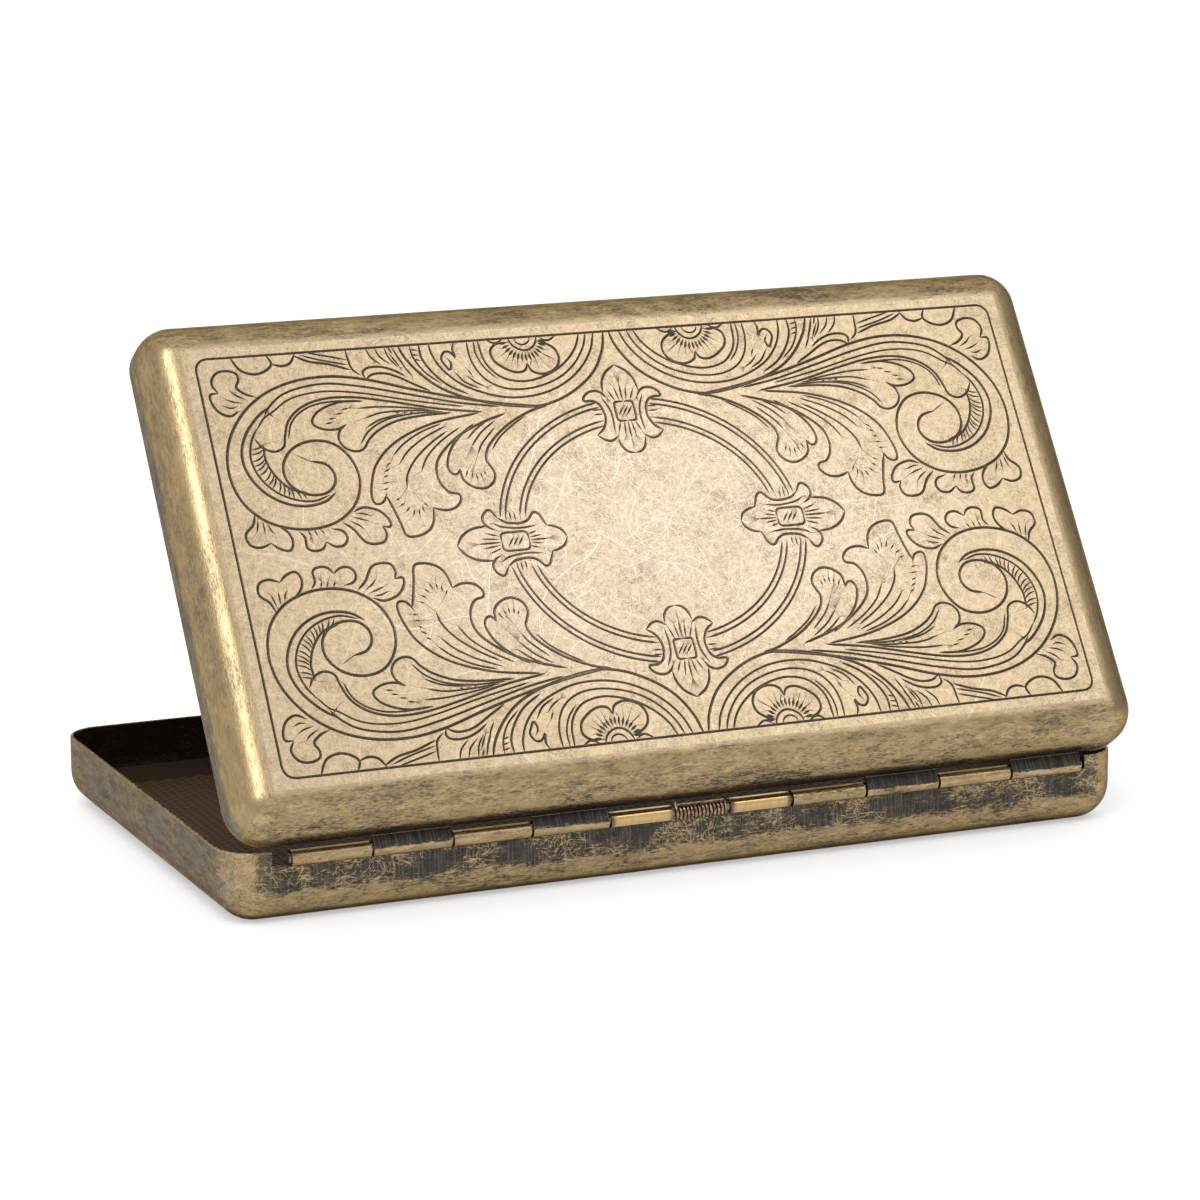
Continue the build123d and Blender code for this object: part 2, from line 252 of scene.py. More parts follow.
# blackened brass rubbed back: Rubbed says how much wear reaches this spot
antique, taken, given = new_group(
    "antique brass",
    [
        ("Place", "Vector", None),
        ("Rubbed", "Float", 0.5),
        ("Streak", "Vector", (0.35, 1.0, 1.0)),
        ("Bright", "Color", (0.42, 0.30, 0.155, 1)),
        ("Dark", "Color", (0.075, 0.062, 0.045, 1)),
        ("Mottling", "Float", 1.0),
    ],
    [("Colour", "Color"), ("Roughness", "Float"), ("Height", "Float")],
)
along = put(
    antique, "VectorMath", [(0, taken["Place"]), (1, taken["Streak"])], operation="MULTIPLY"
).outputs[0]
cloud = grain(antique, along, 0.40, detail=5.0, rough=0.65)
fleck = grain(antique, along, 2.4, detail=5.0, rough=0.7)
speck = grain(antique, along, 6.5, detail=3.0, rough=0.65)
uneven = 0.0
for noise, strength in ((cloud, 1.7), (fleck, 1.6), (speck, 2.0)):
    uneven = reckon(antique, "MULTIPLY_ADD", less(antique, noise, 0.5), strength, uneven)
level = plus(antique, taken["Rubbed"], times(antique, uneven, taken["Mottling"]))
share = ramp(antique, level, 0.15, 0.85)
colour = tint(antique, share, taken["Dark"], taken["Bright"])
# every patch is itself streaked lighter and darker by the buffing
buffed = grain(antique, along, 1.3, detail=6.0, rough=0.8)
toned = ramp(antique, buffed, 0.30, 0.70, 0.52, 1.48, smooth=False)
toned = reckon(antique, "MULTIPLY_ADD", less(antique, toned, 1.0), taken["Mottling"], 1.0)
colour = scaled(antique, colour, toned)
antique.links.new(colour, given.inputs["Colour"])
antique.links.new(ramp(antique, share, 0.0, 1.0, 0.46, 0.27, smooth=False), given.inputs["Roughness"])
antique.links.new(plus(antique, share, times(antique, speck, 0.4)), given.inputs["Height"])


# the blackened metal where no wear reaches it, and the metal that wear lays bare
DULL_LONG_WALL, DULL_END_WALL = (0.128, 0.106, 0.076, 1), (0.200, 0.180, 0.155, 1)
DULL_HINGE_WALL, DULL_TAB = (0.050, 0.044, 0.038, 1), (0.036, 0.034, 0.033, 1)
# the inside colours are the blackened and the bared metal, darkened further with painted shade
DULL_FACE, DULL_INSIDE_SHADED = (0.205, 0.150, 0.088, 1), (0.034, 0.025, 0.017, 1)
BARE_EDGE, BARE_INSIDE_SHADED = (0.350, 0.254, 0.132, 1), (0.150, 0.106, 0.060, 1)
BARE_FACE_ENDS, BARE_FACE_MIDDLE = (0.425, 0.328, 0.205, 1), (0.462, 0.370, 0.268, 1)
# the second colour on the next line is painted shade for the bottom edge next to the table
BRUSHED, CONTACT_SHADE = (0.24, 0.21, 0.17, 1), (0.022, 0.016, 0.011, 1)
HAIR_SCRATCH = (0.90, 0.84, 0.72, 1)


def pressing_finish(name, opened, rim_z, run_side, end_rub):
    """Material of one half of the case. run_side is the way its hinge tabs' flat runs face and
    end_rub how far the buffing reached round its two ends."""
    material, tree, skin = new_finish(name, metal=1.0)
    skin.inputs["Specular Tint"].default_value = (0.45, 0.41, 0.35, 1)
    coords = put(tree, "TexCoord").outputs
    shut = use(tree, shut_place, Object=coords["Object"], Facing=coords["Normal"], Opened=opened)
    place, fine = tangle(tree, shut["Place"], 6, Pitch=1.0, Width=0.065, Run=0.15, Broken=0.48)
    place, bold = tangle(tree, place, 2, Pitch=8.0, Width=0.13, Run=0.06, Broken=0.50)
    spot = put(tree, "SeparateXYZ", [(0, place)]).outputs
    way = put(tree, "SeparateXYZ", [(0, shut["Facing"])]).outputs
    # outside or inside: does the surface face away from the middle of the case
    out_x = times(tree, reckon(tree, "DIVIDE", spot["X"], LENGTH / 2), way["X"])
    out_y = times(tree, reckon(tree, "DIVIDE", spot["Y"], WIDTH / 2), way["Y"])
    out_z = times(tree, less(tree, spot["Z"], rim_z), way["Z"])
    outward = plus(tree, plus(tree, out_x, out_y), out_z)
    outside = reckon(tree, "GREATER_THAN", outward, 0.0)
    # wear grows from the walls over the rounded edge to the flat face
    flatness = reckon(tree, "ABSOLUTE", way["Z"])
    way_x, way_y = reckon(tree, "ABSOLUTE", way["X"]), reckon(tree, "ABSOLUTE", way["Y"])
    at_end = reckon(tree, "GREATER_THAN", way_x, way_y)
    rounded = times(
        tree, ramp(tree, flatness, 0.02, 0.28), ramp(tree, at_end, 0.0, 1.0, 1.0, end_rub, smooth=False)
    )
    flat = ramp(tree, flatness, 0.984, 0.9995)
    level = reckon(tree, "GREATER_THAN", flatness, 0.997)
    # buffing streaks run along each edge and not at all on the flat
    streak_x = reckon(tree, "MAXIMUM", level, ramp(tree, at_end, 0.0, 1.0, 0.28, 1.0, smooth=False))
    streak_y = reckon(tree, "MAXIMUM", level, ramp(tree, at_end, 0.0, 1.0, 1.0, 0.28, smooth=False))
    streak = put(tree, "CombineXYZ", [(0, streak_x), (1, streak_y), (2, 1.0)]).outputs[0]
    # the wall along the hinge stays darkest; upright corners are rubbed
    past_hinge = ramp(tree, reckon(tree, "ABSOLUTE", spot["X"]), 46.5, 50.0, 1.0, 0.0)
    hinge_wall = times(tree, ramp(tree, way["Y"], 0.7, 0.95), past_hinge)
    hinge_wall = times(tree, hinge_wall, reckon(tree, "GREATER_THAN", spot["Y"], 20.0))
    corner = times(tree, ramp(tree, way_x, 0.1, 0.45), ramp(tree, way["Y"], 0.1, 0.45))
    wall = less(tree, reckon(tree, "MULTIPLY_ADD", corner, 0.55, 0.20), times(tree, hinge_wall, 0.16))
    wall = times(tree, wall, ramp(tree, at_end, 0.0, 1.0, 1.0, 0.45, smooth=False))
    wear = reckon(tree, "MULTIPLY_ADD", rounded, less(tree, 0.67, wall), wall)
    wear = reckon(tree, "MULTIPLY_ADD", flat, 0.16, wear)
    # a thin band at the rim's level is made brighter: the rim rubbed bare, with a painted highlight along
    # it
    off_rim = reckon(tree, "ABSOLUTE", less(tree, spot["Z"], rim_z))
    wear = plus(tree, wear, ramp(tree, off_rim, 0.04, 0.20, 0.5, 0.0))
    # inside faces get less wear: partly less rubbing, partly painted shade
    wear = times(tree, wear, ramp(tree, outside, 0.0, 1.0, 0.35, 1.0, smooth=False))
    # painted shade low down, along the bottom edge where the case meets the table
    contact_shade = ramp(tree, spot["Z"], 0.5, 1.5, 0.85, 0.0)
    # golden scratches through the black, thickest in worn patches
    place, scratched = tangle(
        tree, place, 5, Axis=(0.0, 1.0, 0.0), Pitch=0.62, Width=0.075, Run=0.42, Broken=0.46
    )
    patch = ramp(tree, grain(tree, place, 0.16, detail=2.0), 0.44, 0.60)
    scratched = times(tree, scratched, reckon(tree, "MULTIPLY_ADD", patch, 0.95, 0.12))
    scratched = times(tree, scratched, less(tree, 1.0, rounded))
    wear = reckon(tree, "MULTIPLY_ADD", scratched, 0.8, wear)
    wear = reckon(tree, "MULTIPLY_ADD", times(tree, patch, hinge_wall), 0.16, wear)
    # hinge tabs: black on the flat run and in the bend, rubbed bright round the barrel
    on_tab = ramp(tree, spot["Y"], WIDTH / 2 + 0.03, WIDTH / 2 + 0.08)
    on_run = ramp(tree, times(tree, way["Z"], run_side), 0.84, 0.97)
    tab_wear = ramp(tree, on_run, 0.0, 1.0, 0.86, 0.05, smooth=False)
    tab_wear = times(tree, tab_wear, ramp(tree, spot["Y"], WIDTH / 2 + 0.1, WIDTH / 2 + 0.5, 0.4, 1.0))
    wear = reckon(tree, "MULTIPLY_ADD", on_tab, less(tree, tab_wear, wear), wear)
    end_wall = times(tree, at_end, ramp(tree, flatness, 0.12, 0.50, 1.0, 0.0))
    dull = tint(tree, end_wall, DULL_LONG_WALL, DULL_END_WALL)
    dull = tint(tree, hinge_wall, dull, DULL_HINGE_WALL)
    dull = tint(tree, flat, dull, DULL_FACE)
    dull = tint(tree, on_tab, dull, DULL_TAB)
    # inside faces take the darker inside colour, which holds painted shade as well as the blackening
    dull = tint(tree, outside, DULL_INSIDE_SHADED, dull)
    # the face is palest in the middle, where it is handled most
    spread = put(tree, "VectorMath", [(0, place), (1, (0.52, 1.0, 0.0))], operation="MULTIPLY").outputs[0]
    far_out = put(tree, "VectorMath", [(0, spread)], operation="LENGTH").outputs["Value"]
    wandering = less(tree, grain(tree, place, 0.12), 0.5)
    handled = ramp(tree, reckon(tree, "MULTIPLY_ADD", wandering, 14.0, far_out), 6.0, 26.0, 1.0, 0.0)
    pale = tint(tree, handled, BARE_FACE_ENDS, BARE_FACE_MIDDLE)
    bright = tint(tree, times(tree, flat, less(tree, 1.0, on_tab)), BARE_EDGE, pale)
    # the bared metal inside is darkened with painted shade as well
    bright = tint(tree, outside, BARE_INSIDE_SHADED, bright)
    # the rounded ends were buffed more evenly than the long edges
    evened = reckon(tree, "MAXIMUM", flat, times(tree, at_end, rounded))
    evened = times(tree, evened, 0.45)
    mottling = less(tree, 1.0, evened)
    look = dict(Rubbed=wear, Dark=dull, Bright=bright, Streak=streak, Mottling=mottling)
    brass = use(tree, antique, Place=place, **look)
    # up and down brushing on the hinge side
    combed = grain(tree, place, 5.0, detail=3.0, stretch=(1.6, 0.06, 0.06))
    brushed_side = reckon(tree, "MAXIMUM", hinge_wall, times(tree, on_tab, on_run))
    combing = times(tree, brushed_side, ramp(tree, combed, 0.45, 0.75))
    colour = tint(tree, times(tree, combing, 0.38), brass["Colour"], BRUSHED)
    # painted shade darkens the bottom edge next to the table
    colour = tint(tree, contact_shade, colour, CONTACT_SHADE)
    # pale hair scratches over the rubbed face
    on_face = times(tree, times(tree, flat, outside), less(tree, 1.0, on_tab))
    haired = reckon(tree, "MAXIMUM", times(tree, fine, 0.45), times(tree, bold, 0.7))
    haired = times(tree, haired, times(tree, on_face, reckon(tree, "MULTIPLY_ADD", handled, 0.65, 0.35)))
    colour = tint(tree, times(tree, haired, 0.90), colour, HAIR_SCRATCH)
    height = reckon(tree, "MULTIPLY_ADD", haired, -0.8, brass["Height"])
    rough = brass["Roughness"]
    return material, tree, skin, place, handled, colour, rough, height


def close_finish(tree, skin, colour, rough, height, depth_mm):
    """Feeds the finish into its shader, with height as fine relief."""
    tree.links.new(colour, skin.inputs["Base Color"])
    tree.links.new(rough, skin.inputs["Roughness"])
    relief = put(tree, "Bump", [("Height", height), ("Distance", depth_mm * MM), ("Strength", 1.0)])
    tree.links.new(relief.outputs[0], skin.inputs["Normal"])


base_finish, tree, skin, place, handled, colour, rough, height = pressing_finish(
    "case brass base", opened=0.0, rim_z=BASE_HEIGHT, run_side=-1.0, end_rub=0.4
)
close_finish(tree, skin, colour, rough, height, 0.012)
coat("base_shell", base_finish)

# ---- hinge pin and spacer tubes ------------------------------------------------------
# A drawn steel wire through all the curled tabs, and two brass tubes that keep the spring
# in the middle. The tubes were buffed after the case was blackened, so they are brightest.
pin_steel, tree, skin = new_finish("pin steel", metal=1.0)
place = surface_mm(tree)
stain = ramp(tree, grain(tree, place, 1.4, detail=4.0), 0.4, 0.65)
tree.links.new(tint(tree, stain, (0.16, 0.14, 0.12, 1), (0.30, 0.28, 0.25, 1)), skin.inputs["Base Color"])
tree.links.new(ramp(tree, stain, 0.0, 1.0, 0.5, 0.32, smooth=False), skin.inputs["Roughness"])
coat("hinge_pin", pin_steel)

tube_brass, tree, skin = new_finish("tube brass", metal=1.0)
place = surface_mm(tree)
spot = put(tree, "SeparateXYZ", [(0, place)]).outputs
# tarnish gathers at the tube ends and runs in thin rings round it
TUBE_MIDDLE = 6.95
off_middle = less(tree, reckon(tree, "ABSOLUTE", spot["X"]), TUBE_MIDDLE)
off_middle = reckon(tree, "ABSOLUTE", off_middle)
worn = ramp(tree, off_middle, 2.6, 3.55, 0.95, 0.30)
look = dict(Bright=(0.50, 0.345, 0.155, 1), Dark=(0.10, 0.075, 0.045, 1), Mottling=0.35)
brass = use(tree, antique, Place=place, Rubbed=worn, Streak=(2.2, 0.5, 0.5), **look)
tree.links.new(brass["Colour"], skin.inputs["Base Color"])
tree.links.new(less(tree, brass["Roughness"], 0.13), skin.inputs["Roughness"])
relief = put(tree, "Bump", [("Height", brass["Height"]), ("Distance", 0.006 * MM)])
tree.links.new(relief.outputs[0], skin.inputs["Normal"])
for name in ("spacer_tube_1", "spacer_tube_2"):
    coat(name, tube_brass)

# ---- torsion spring ------------------------------------------------------------------
# Copper-washed steel wire wound on the pin between the tubes. One leg lies inside the base
# and the other inside the lid, so the coil winds tighter as the lid is shut.
WIRE, COIL_MEAN = 0.34, 0.72
COIL_HALF, TURNS = 2.93, 13
STEPS_PER_TURN, WIRE_SIDES = 24, 12
LEG_IN, LEG_LONG, LEG_BEND = 27.98, 2.4, 0.45


def leg_out(level, way):
    """Centre line of one leg from its far end to the coil, in the y-z plane."""
    straight = (1.0, 0.8, 0.6, 0.4, LEG_BEND / LEG_LONG)
    line = [(LEG_IN, level + way * LEG_LONG * part) for part in straight]
    for turn in np.radians([15, 30, 45, 60, 75, 90]):
        inward, up = LEG_BEND * (1 - math.cos(turn)), LEG_BEND * (1 - math.sin(turn))
        line.append((LEG_IN + inward, level + way * up))
    bent = LEG_IN + LEG_BEND
    line += [(bent + (PIN_Y - bent) * part, level) for part in (0.25, 0.5, 0.75)]
    return line


wire_line = [(-COIL_HALF, y, z) for y, z in leg_out(PIN_Z - COIL_MEAN, -1)]
first_turn, last_turn = -math.pi / 2, math.radians(90) - OPENED + 2 * math.pi * TURNS
for turn in np.linspace(first_turn, last_turn, TURNS * STEPS_PER_TURN + 9):
    along = (turn - first_turn) / (last_turn - first_turn)
    coil_y, coil_z = PIN_Y + COIL_MEAN * math.cos(turn), PIN_Z + COIL_MEAN * math.sin(turn)
    wire_line.append((-COIL_HALF + 2 * COIL_HALF * along, coil_y, coil_z))
swing_c, swing_s = math.cos(OPENED), math.sin(OPENED)
for y, z in reversed(leg_out(PIN_Z + COIL_MEAN, 1)):
    y, z = y - PIN_Y, z - PIN_Z
    wire_line.append((COIL_HALF, PIN_Y + y * swing_c + z * swing_s, PIN_Z - y * swing_s + z * swing_c))
wire_line = np.array(wire_line)
heading = np.gradient(wire_line, axis=0)
heading /= np.linalg.norm(heading, axis=1)[:, None]
rings = []
side = np.array([1.0, 0.0, 0.0])
for spot_on_wire, ahead in zip(wire_line, heading):
    side = side - ahead * side.dot(ahead)
    side /= np.linalg.norm(side)
    other = np.cross(ahead, side)
    for turn in np.linspace(0, 2 * math.pi, WIRE_SIDES, endpoint=False):
        rings.append(spot_on_wire + WIRE / 2 * (math.cos(turn) * side + math.sin(turn) * other))
faces = []
for ring in range(len(wire_line) - 1):
    here, ahead = ring * WIRE_SIDES, (ring + 1) * WIRE_SIDES
    for k in range(WIRE_SIDES):
        n = (k + 1) % WIRE_SIDES
        faces.append((here + k, here + n, ahead + n, ahead + k))
faces.append(tuple(range(WIRE_SIDES - 1, -1, -1)))
faces.append(tuple(range(len(rings) - WIRE_SIDES, len(rings))))
spring_mesh = bpy.data.meshes.new("torsion_coil")
spring_mesh.from_pydata([tuple(p * MM) for p in rings], [], faces)
spring_mesh.polygons.foreach_set("use_smooth", [len(f) == 4 for f in faces])
torsion_coil = bpy.data.objects.new("torsion_coil", spring_mesh)
bpy.context.scene.collection.objects.link(torsion_coil)
copper_wire, tree, skin = new_finish("copper-washed wire", metal=1.0)
place = surface_mm(tree)
worn = ramp(tree, grain(tree, place, 2.5, detail=4.0), 0.35, 0.65)
tree.links.new(
    tint(tree, worn, (0.11, 0.068, 0.040, 1), (0.42, 0.285, 0.170, 1)), skin.inputs["Base Color"]
)
skin.inputs["Roughness"].default_value = 0.28
spring_mesh.materials.append(copper_wire)
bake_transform(torsion_coil)
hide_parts("torsion_spring")

# ---- magnet sheet and liner ----------------------------------------------------------
# A flexible magnet sheet lies in the tray to hold needles, under a brown vinyl liner that is
# embossed all over with small diamonds and turned up at its edges.
magnet_rubber, tree, skin = new_finish("magnet rubber", metal=0.0)
place = surface_mm(tree)
dust = ramp(tree, grain(tree, place, 6.0, detail=4.0), 0.4, 0.7)
tree.links.new(
    tint(tree, dust, (0.018, 0.017, 0.016, 1), (0.035, 0.032, 0.029, 1)), skin.inputs["Base Color"]
)
skin.inputs["Roughness"].default_value = 0.75
coat("magnet_sheet", magnet_rubber)

DIAMOND_ALONG, DIAMOND_ACROSS = 1.9, 1.25
DIAMOND_HIGH = 0.16
LINER_LEVEL = 1.4


def face_swapped(name, node, level, plan_points, plan_edges, share_at, rise, to_flat, from_flat, mark):
    """A copy of a CAD piece whose flat face at that level is remade from a plan of points and
    edges, raised by rise where share_at says 1; mark names the share kept on the points."""
    cad = frame["nodes"][node].data
    cad.calc_loop_triangles()
    loose = np.empty(len(cad.vertices) * 3)
    cad.vertices.foreach_get("co", loose)
    triangles = np.array([t.vertices[:] for t in cad.loop_triangles])
    corners = np.array([t.loops[:] for t in cad.loop_triangles])
    facing = np.empty(len(cad.loops) * 3)
    cad.corner_normals.foreach_get("vector", facing)
    facing = facing.reshape(-1, 3)
    # the face's old triangles are left out and its outline kept
    welded, which = np.unique(np.round(loose.reshape(-1, 3) / MM, 4), axis=0, return_inverse=True)
    triangles = which.ravel()[triangles]
    lying = to_flat(welded)
    is_face = (np.abs(lying[:, 2] - level) < 0.002)[triangles].all(1)
    kept, kept_facing = triangles[~is_face], facing[corners[~is_face]]
    sides = {}
    for tri in triangles[is_face].tolist():
        for a, b in ((tri[0], tri[1]), (tri[1], tri[2]), (tri[2], tri[0])):
            key = (min(a, b), max(a, b))
            sides[key] = sides.get(key, 0) + 1
    outline = [pair for pair, uses in sides.items() if uses == 1]
    rim = sorted({i for pair in outline for i in pair})
    first = len(plan_points)
    at = {v: first + n for n, v in enumerate(rim)}
    all_plan = list(plan_points) + [tuple(p) for p in lying[rim, :2]]
    all_edges = list(plan_edges) + [(at[a], at[b]) for a, b in outline]
    # the plan is cut into triangles that keep its edges, then raised
    made, _, faces, made_from, _, _ = delaunay_2d_cdt(
        [Vector(p) for p in all_plan], all_edges, [], 1, 1e-4, True
    )
    made = np.array([p[:] for p in made])
    faces = np.array([f for f in faces if len(f) == 3])
    share = np.clip(share_at(made), 0, 1)
    number = np.arange(len(made)) + len(lying)
    for n, sources in enumerate(made_from):
        for source in sources:
            if source >= first:
                number[n] = rim[source - first]
                share[n] = 0.0
    new = np.column_stack([made, level + rise * share])
    everything = np.vstack([lying, new])
    faces = number[faces]
    a, b, c = (everything[faces[:, k]] for k in range(3))
    over = np.cross(b - a, c - a)[:, 2] < 0
    faces[over] = faces[over][:, ::-1]
    a, b, c = (everything[faces[:, k]] for k in range(3))
    normal = np.cross(b - a, c - a)
    area = np.linalg.norm(normal, axis=1)
    normal /= np.maximum(area, 1e-12)[:, None]
    normal[area < 1e-9] = (0, 0, 1)
    origin = from_flat(np.zeros((1, 3)))
    normal = from_flat(normal) - origin
    placed = from_flat(everything) * MM
    used, back = np.unique(np.vstack([kept, faces]), return_inverse=True)
    mesh = bpy.data.meshes.new(name)
    mesh.from_pydata(placed[used].tolist(), [], back.reshape(-1, 3).tolist())
    mesh.polygons.foreach_set("use_smooth", [True] * len(mesh.polygons))
    mesh.normals_split_custom_set(
        np.vstack([kept_facing.reshape(-1, 3), np.repeat(normal, 3, axis=0)]).tolist()
    )
    shares = np.zeros(len(everything))
    shares[number] = share
    marked = mesh.attributes.new(mark, "FLOAT", "POINT")
    marked.data.foreach_set("value", shares[used].astype(np.float32))
    made_object = bpy.data.objects.new(name, mesh)
    bpy.context.scene.collection.objects.link(made_object)
    return made_object


def as_it_lies(points):
    """The liner already lies flat."""
    return points


def diamond_share(points):
    """Rounded diamonds: 1 at their middles and 0 in the furrows between."""
    along = points[:, 0] / DIAMOND_ALONG
    across = points[:, 1] / DIAMOND_ACROSS
    one = np.abs((along + across) % 1 - 0.5) * 2
    two = np.abs((along - across) % 1 - 0.5) * 2
    return 1 - np.maximum(one, two) ** 2.2


# the diamonds stop short of the turned-up edges and are cut off across the corners
EDGE_WIDTH, CORNER_CUT = 0.9, 3.6
liner_half_x = frame["nodes"]["floor_liner"].dimensions.x / 2 / MM - EDGE_WIDTH
liner_half_y = frame["nodes"]["floor_liner"].dimensions.y / 2 / MM - EDGE_WIDTH
emboss = []
for row, y in enumerate(np.arange(-liner_half_y, liner_half_y, DIAMOND_ACROSS / 4)):
    for x in np.arange(-liner_half_x + (row % 2) * DIAMOND_ALONG / 8, liner_half_x, DIAMOND_ALONG / 4):
        past_x = max(0, abs(x) - liner_half_x + CORNER_CUT)
        past_y = max(0, abs(y) - liner_half_y + CORNER_CUT)
        if past_x + past_y < CORNER_CUT:
            emboss.append((x, y))
liner = face_swapped(
    "embossed_liner",
    "floor_liner",
    LINER_LEVEL,
    emboss,
    [],
    diamond_share,
    DIAMOND_HIGH,
    as_it_lies,
    as_it_lies,
    "raised",
)
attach(liner, "base")
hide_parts("floor_liner")
vinyl, tree, skin = new_finish("brown vinyl", metal=0.0)
place = surface_mm(tree)
raised = put(tree, "Attribute", attribute_name="raised").outputs["Fac"]
leather = grain(tree, place, 7.0, detail=4.0, rough=0.65)
# the diamonds' tops are painted lighter and their furrows darker (painted highlight and painted shade on
# the relief), mixed with the vinyl's own grain
shade = reckon(tree, "MULTIPLY_ADD", raised, 0.6, times(tree, leather, 0.5))
tree.links.new(
    tint(tree, shade, (0.012, 0.008, 0.005, 1), (0.085, 0.052, 0.029, 1)), skin.inputs["Base Color"]
)
skin.inputs["Roughness"].default_value = 0.55
skin.inputs["Specular IOR Level"].default_value = 0.03
skin.inputs["Specular Tint"].default_value = (0.80, 0.56, 0.38, 1)
relief = put(tree, "Bump", [("Height", leather), ("Distance", 0.03 * MM)])
tree.links.new(relief.outputs[0], skin.inputs["Normal"])
liner.data.materials.append(vinyl)

# ---- catch ---------------------------------------------------------------------------
# A springy strip riveted inside the front wall carries the hook; pressing the button in the
# wall pushes the hook off the keeper that is fixed inside the lid.
STRIP_FROM, STRIP_TO = -33.0, 5.0
STRIP_LOW, STRIP_HIGH = 4.7, 6.7
STRIP_OUT, STRIP_IN = -28.1, -27.8
STRIP_EDGE, END_ROUND, TUCK_MOST = 0.05, 0.5, 0.46
build = bmesh.new()
stations = np.linspace(STRIP_FROM, STRIP_TO, 58)
loops = []
for x in stations:
    to_end = min(x - STRIP_FROM, STRIP_TO - x)
    tuck = END_ROUND - math.sqrt(max(0.0, END_ROUND**2 - max(0.0, END_ROUND - to_end) ** 2))
    low, high = STRIP_LOW + min(tuck, TUCK_MOST), STRIP_HIGH - min(tuck, TUCK_MOST)
    section = [
        (STRIP_OUT + STRIP_EDGE, low),
        (STRIP_IN - STRIP_EDGE, low),
        (STRIP_IN, low + STRIP_EDGE),
        (STRIP_IN, high - STRIP_EDGE),
        (STRIP_IN - STRIP_EDGE, high),
        (STRIP_OUT + STRIP_EDGE, high),
        (STRIP_OUT, high - STRIP_EDGE),
        (STRIP_OUT, low + STRIP_EDGE),
    ]
    loops.append([build.verts.new((x * MM, y * MM, z * MM)) for y, z in section])
for near, far in zip(loops[:-1], loops[1:]):
    for k in range(8):
        build.faces.new((near[k], near[(k + 1) % 8], far[(k + 1) % 8], far[k]))
build.faces.new(loops[0])
build.faces.new(loops[-1])
bmesh.ops.recalc_face_normals(build, faces=build.faces)
strip_mesh = bpy.data.meshes.new("catch_strip")
build.to_mesh(strip_mesh)
build.free()
catch_strip = bpy.data.objects.new("catch_strip", strip_mesh)
bpy.context.scene.collection.objects.link(catch_strip)
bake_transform(catch_strip)
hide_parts("catch_spring")
spring_steel, tree, skin = new_finish("spring steel", metal=1.0)
place = surface_mm(tree)
rolled = ramp(tree, grain(tree, place, 3.0, detail=4.0, stretch=(0.08, 1.0, 1.0)), 0.35, 0.65)
tree.links.new(
    tint(tree, rolled, (0.20, 0.20, 0.20, 1), (0.38, 0.375, 0.36, 1)), skin.inputs["Base Color"]
)
tree.links.new(ramp(tree, rolled, 0.0, 1.0, 0.45, 0.33, smooth=False), skin.inputs["Roughness"])
strip_mesh.materials.append(spring_steel)

catch_brass, tree, skin = new_finish("catch brass", metal=1.0)
place = surface_mm(tree)
look = dict(Bright=(0.36, 0.26, 0.135, 1), Dark=(0.06, 0.048, 0.034, 1), Mottling=0.8)
brass = use(tree, antique, Place=place, Rubbed=0.55, Streak=(1.0, 1.0, 1.0), **look)
close_finish(tree, skin, brass["Colour"], brass["Roughness"], brass["Height"], 0.008)
for name in ("catch_button", "catch_hook", "catch_rivets", "lid_keeper"):
    coat(name, catch_brass)

# ---- lid -----------------------------------------------------------------------------
# The same pressing turned over. Its flat face is engraved by hand: a border, a ring with
# four clasps, and leaf scrollwork, each line a shallow V cut left dark by the blackening.
# One quarter of the engraving, cut widths and points in mm out from the middle
SCROLL = [
    # the great scroll: along the stem, round the volute and into its eye
    (0.30, [(9.5, 15.2), (14, 15.9), (19, 17.0), (24, 18.4), (28.5, 19.8), (32.5, 20.5),
            (36.5, 20.3), (40.2, 19.1), (43.2, 16.9), (45.3, 13.8), (46.0, 10.4), (45.3, 7.2),
            (43.4, 4.9), (40.8, 3.7), (37.9, 3.4), (35.1, 4.1), (32.9, 5.9), (31.9, 8.5),
            (32.4, 11.0), (34.0, 12.8), (36.3, 13.3), (38.5, 12.6), (39.8, 11.1), (40.0, 9.4),
            (39.2, 8.0), (37.6, 7.2), (35.8, 7.3), (34.7, 8.3), (34.6, 9.6), (35.4, 10.6),
            (36.9, 11.0)]),
    (0.30, [(34.9, 7.2), (36.3, 6.3), (38.4, 6.0), (40.6, 6.5), (42.6, 7.9), (43.9, 10.0),
            (44.2, 12.2), (43.4, 14.4), (41.9, 16.2), (40.4, 17.4)]),
    (0.22, [(35.6, 7.0), (37.4, 6.5), (39.4, 6.8), (41.4, 7.9), (42.8, 9.7), (43.3, 11.8),
            (42.8, 13.8), (41.9, 15.2)]),
    (0.26, [(37.8, 7.4), (39.7, 8.1), (41.0, 9.6), (41.7, 11.5), (41.6, 13.2)]),
    # the leaf that springs from the stem inside it, and the stem's long lines
    (0.26, [(42.4, 14.0), (41.7, 12.9), (40.5, 12.4), (39.4, 12.9), (39.0, 14.2), (38.2, 15.9),
            (36.4, 17.3), (33.8, 18.0), (30.5, 17.9), (26.5, 17.1), (21.5, 15.9), (16.5, 15.1)]),
    (0.20, [(38.7, 13.8), (38.1, 15.4), (36.9, 16.6), (35.0, 17.4), (32.6, 17.6), (30.2, 17.4)]),
    (0.20, [(41.9, 15.1), (40.9, 16.3), (39.7, 17.0), (38.0, 18.1), (35.8, 18.7), (32.8, 18.8),
            (29.0, 18.2), (24.0, 17.0), (18.5, 15.9)]),
    (0.24, [(40.8, 16.6), (40.0, 17.6), (38.4, 18.8), (36.0, 19.5), (33.0, 19.7), (29.0, 19.0),
            (24.0, 17.7), (19.0, 16.4), (14.5, 15.6)]),
    (0.20, [(41.0, 16.9), (40.2, 17.3)]),
    (0.20, [(39.9, 16.4), (40.4, 17.0)]),
]
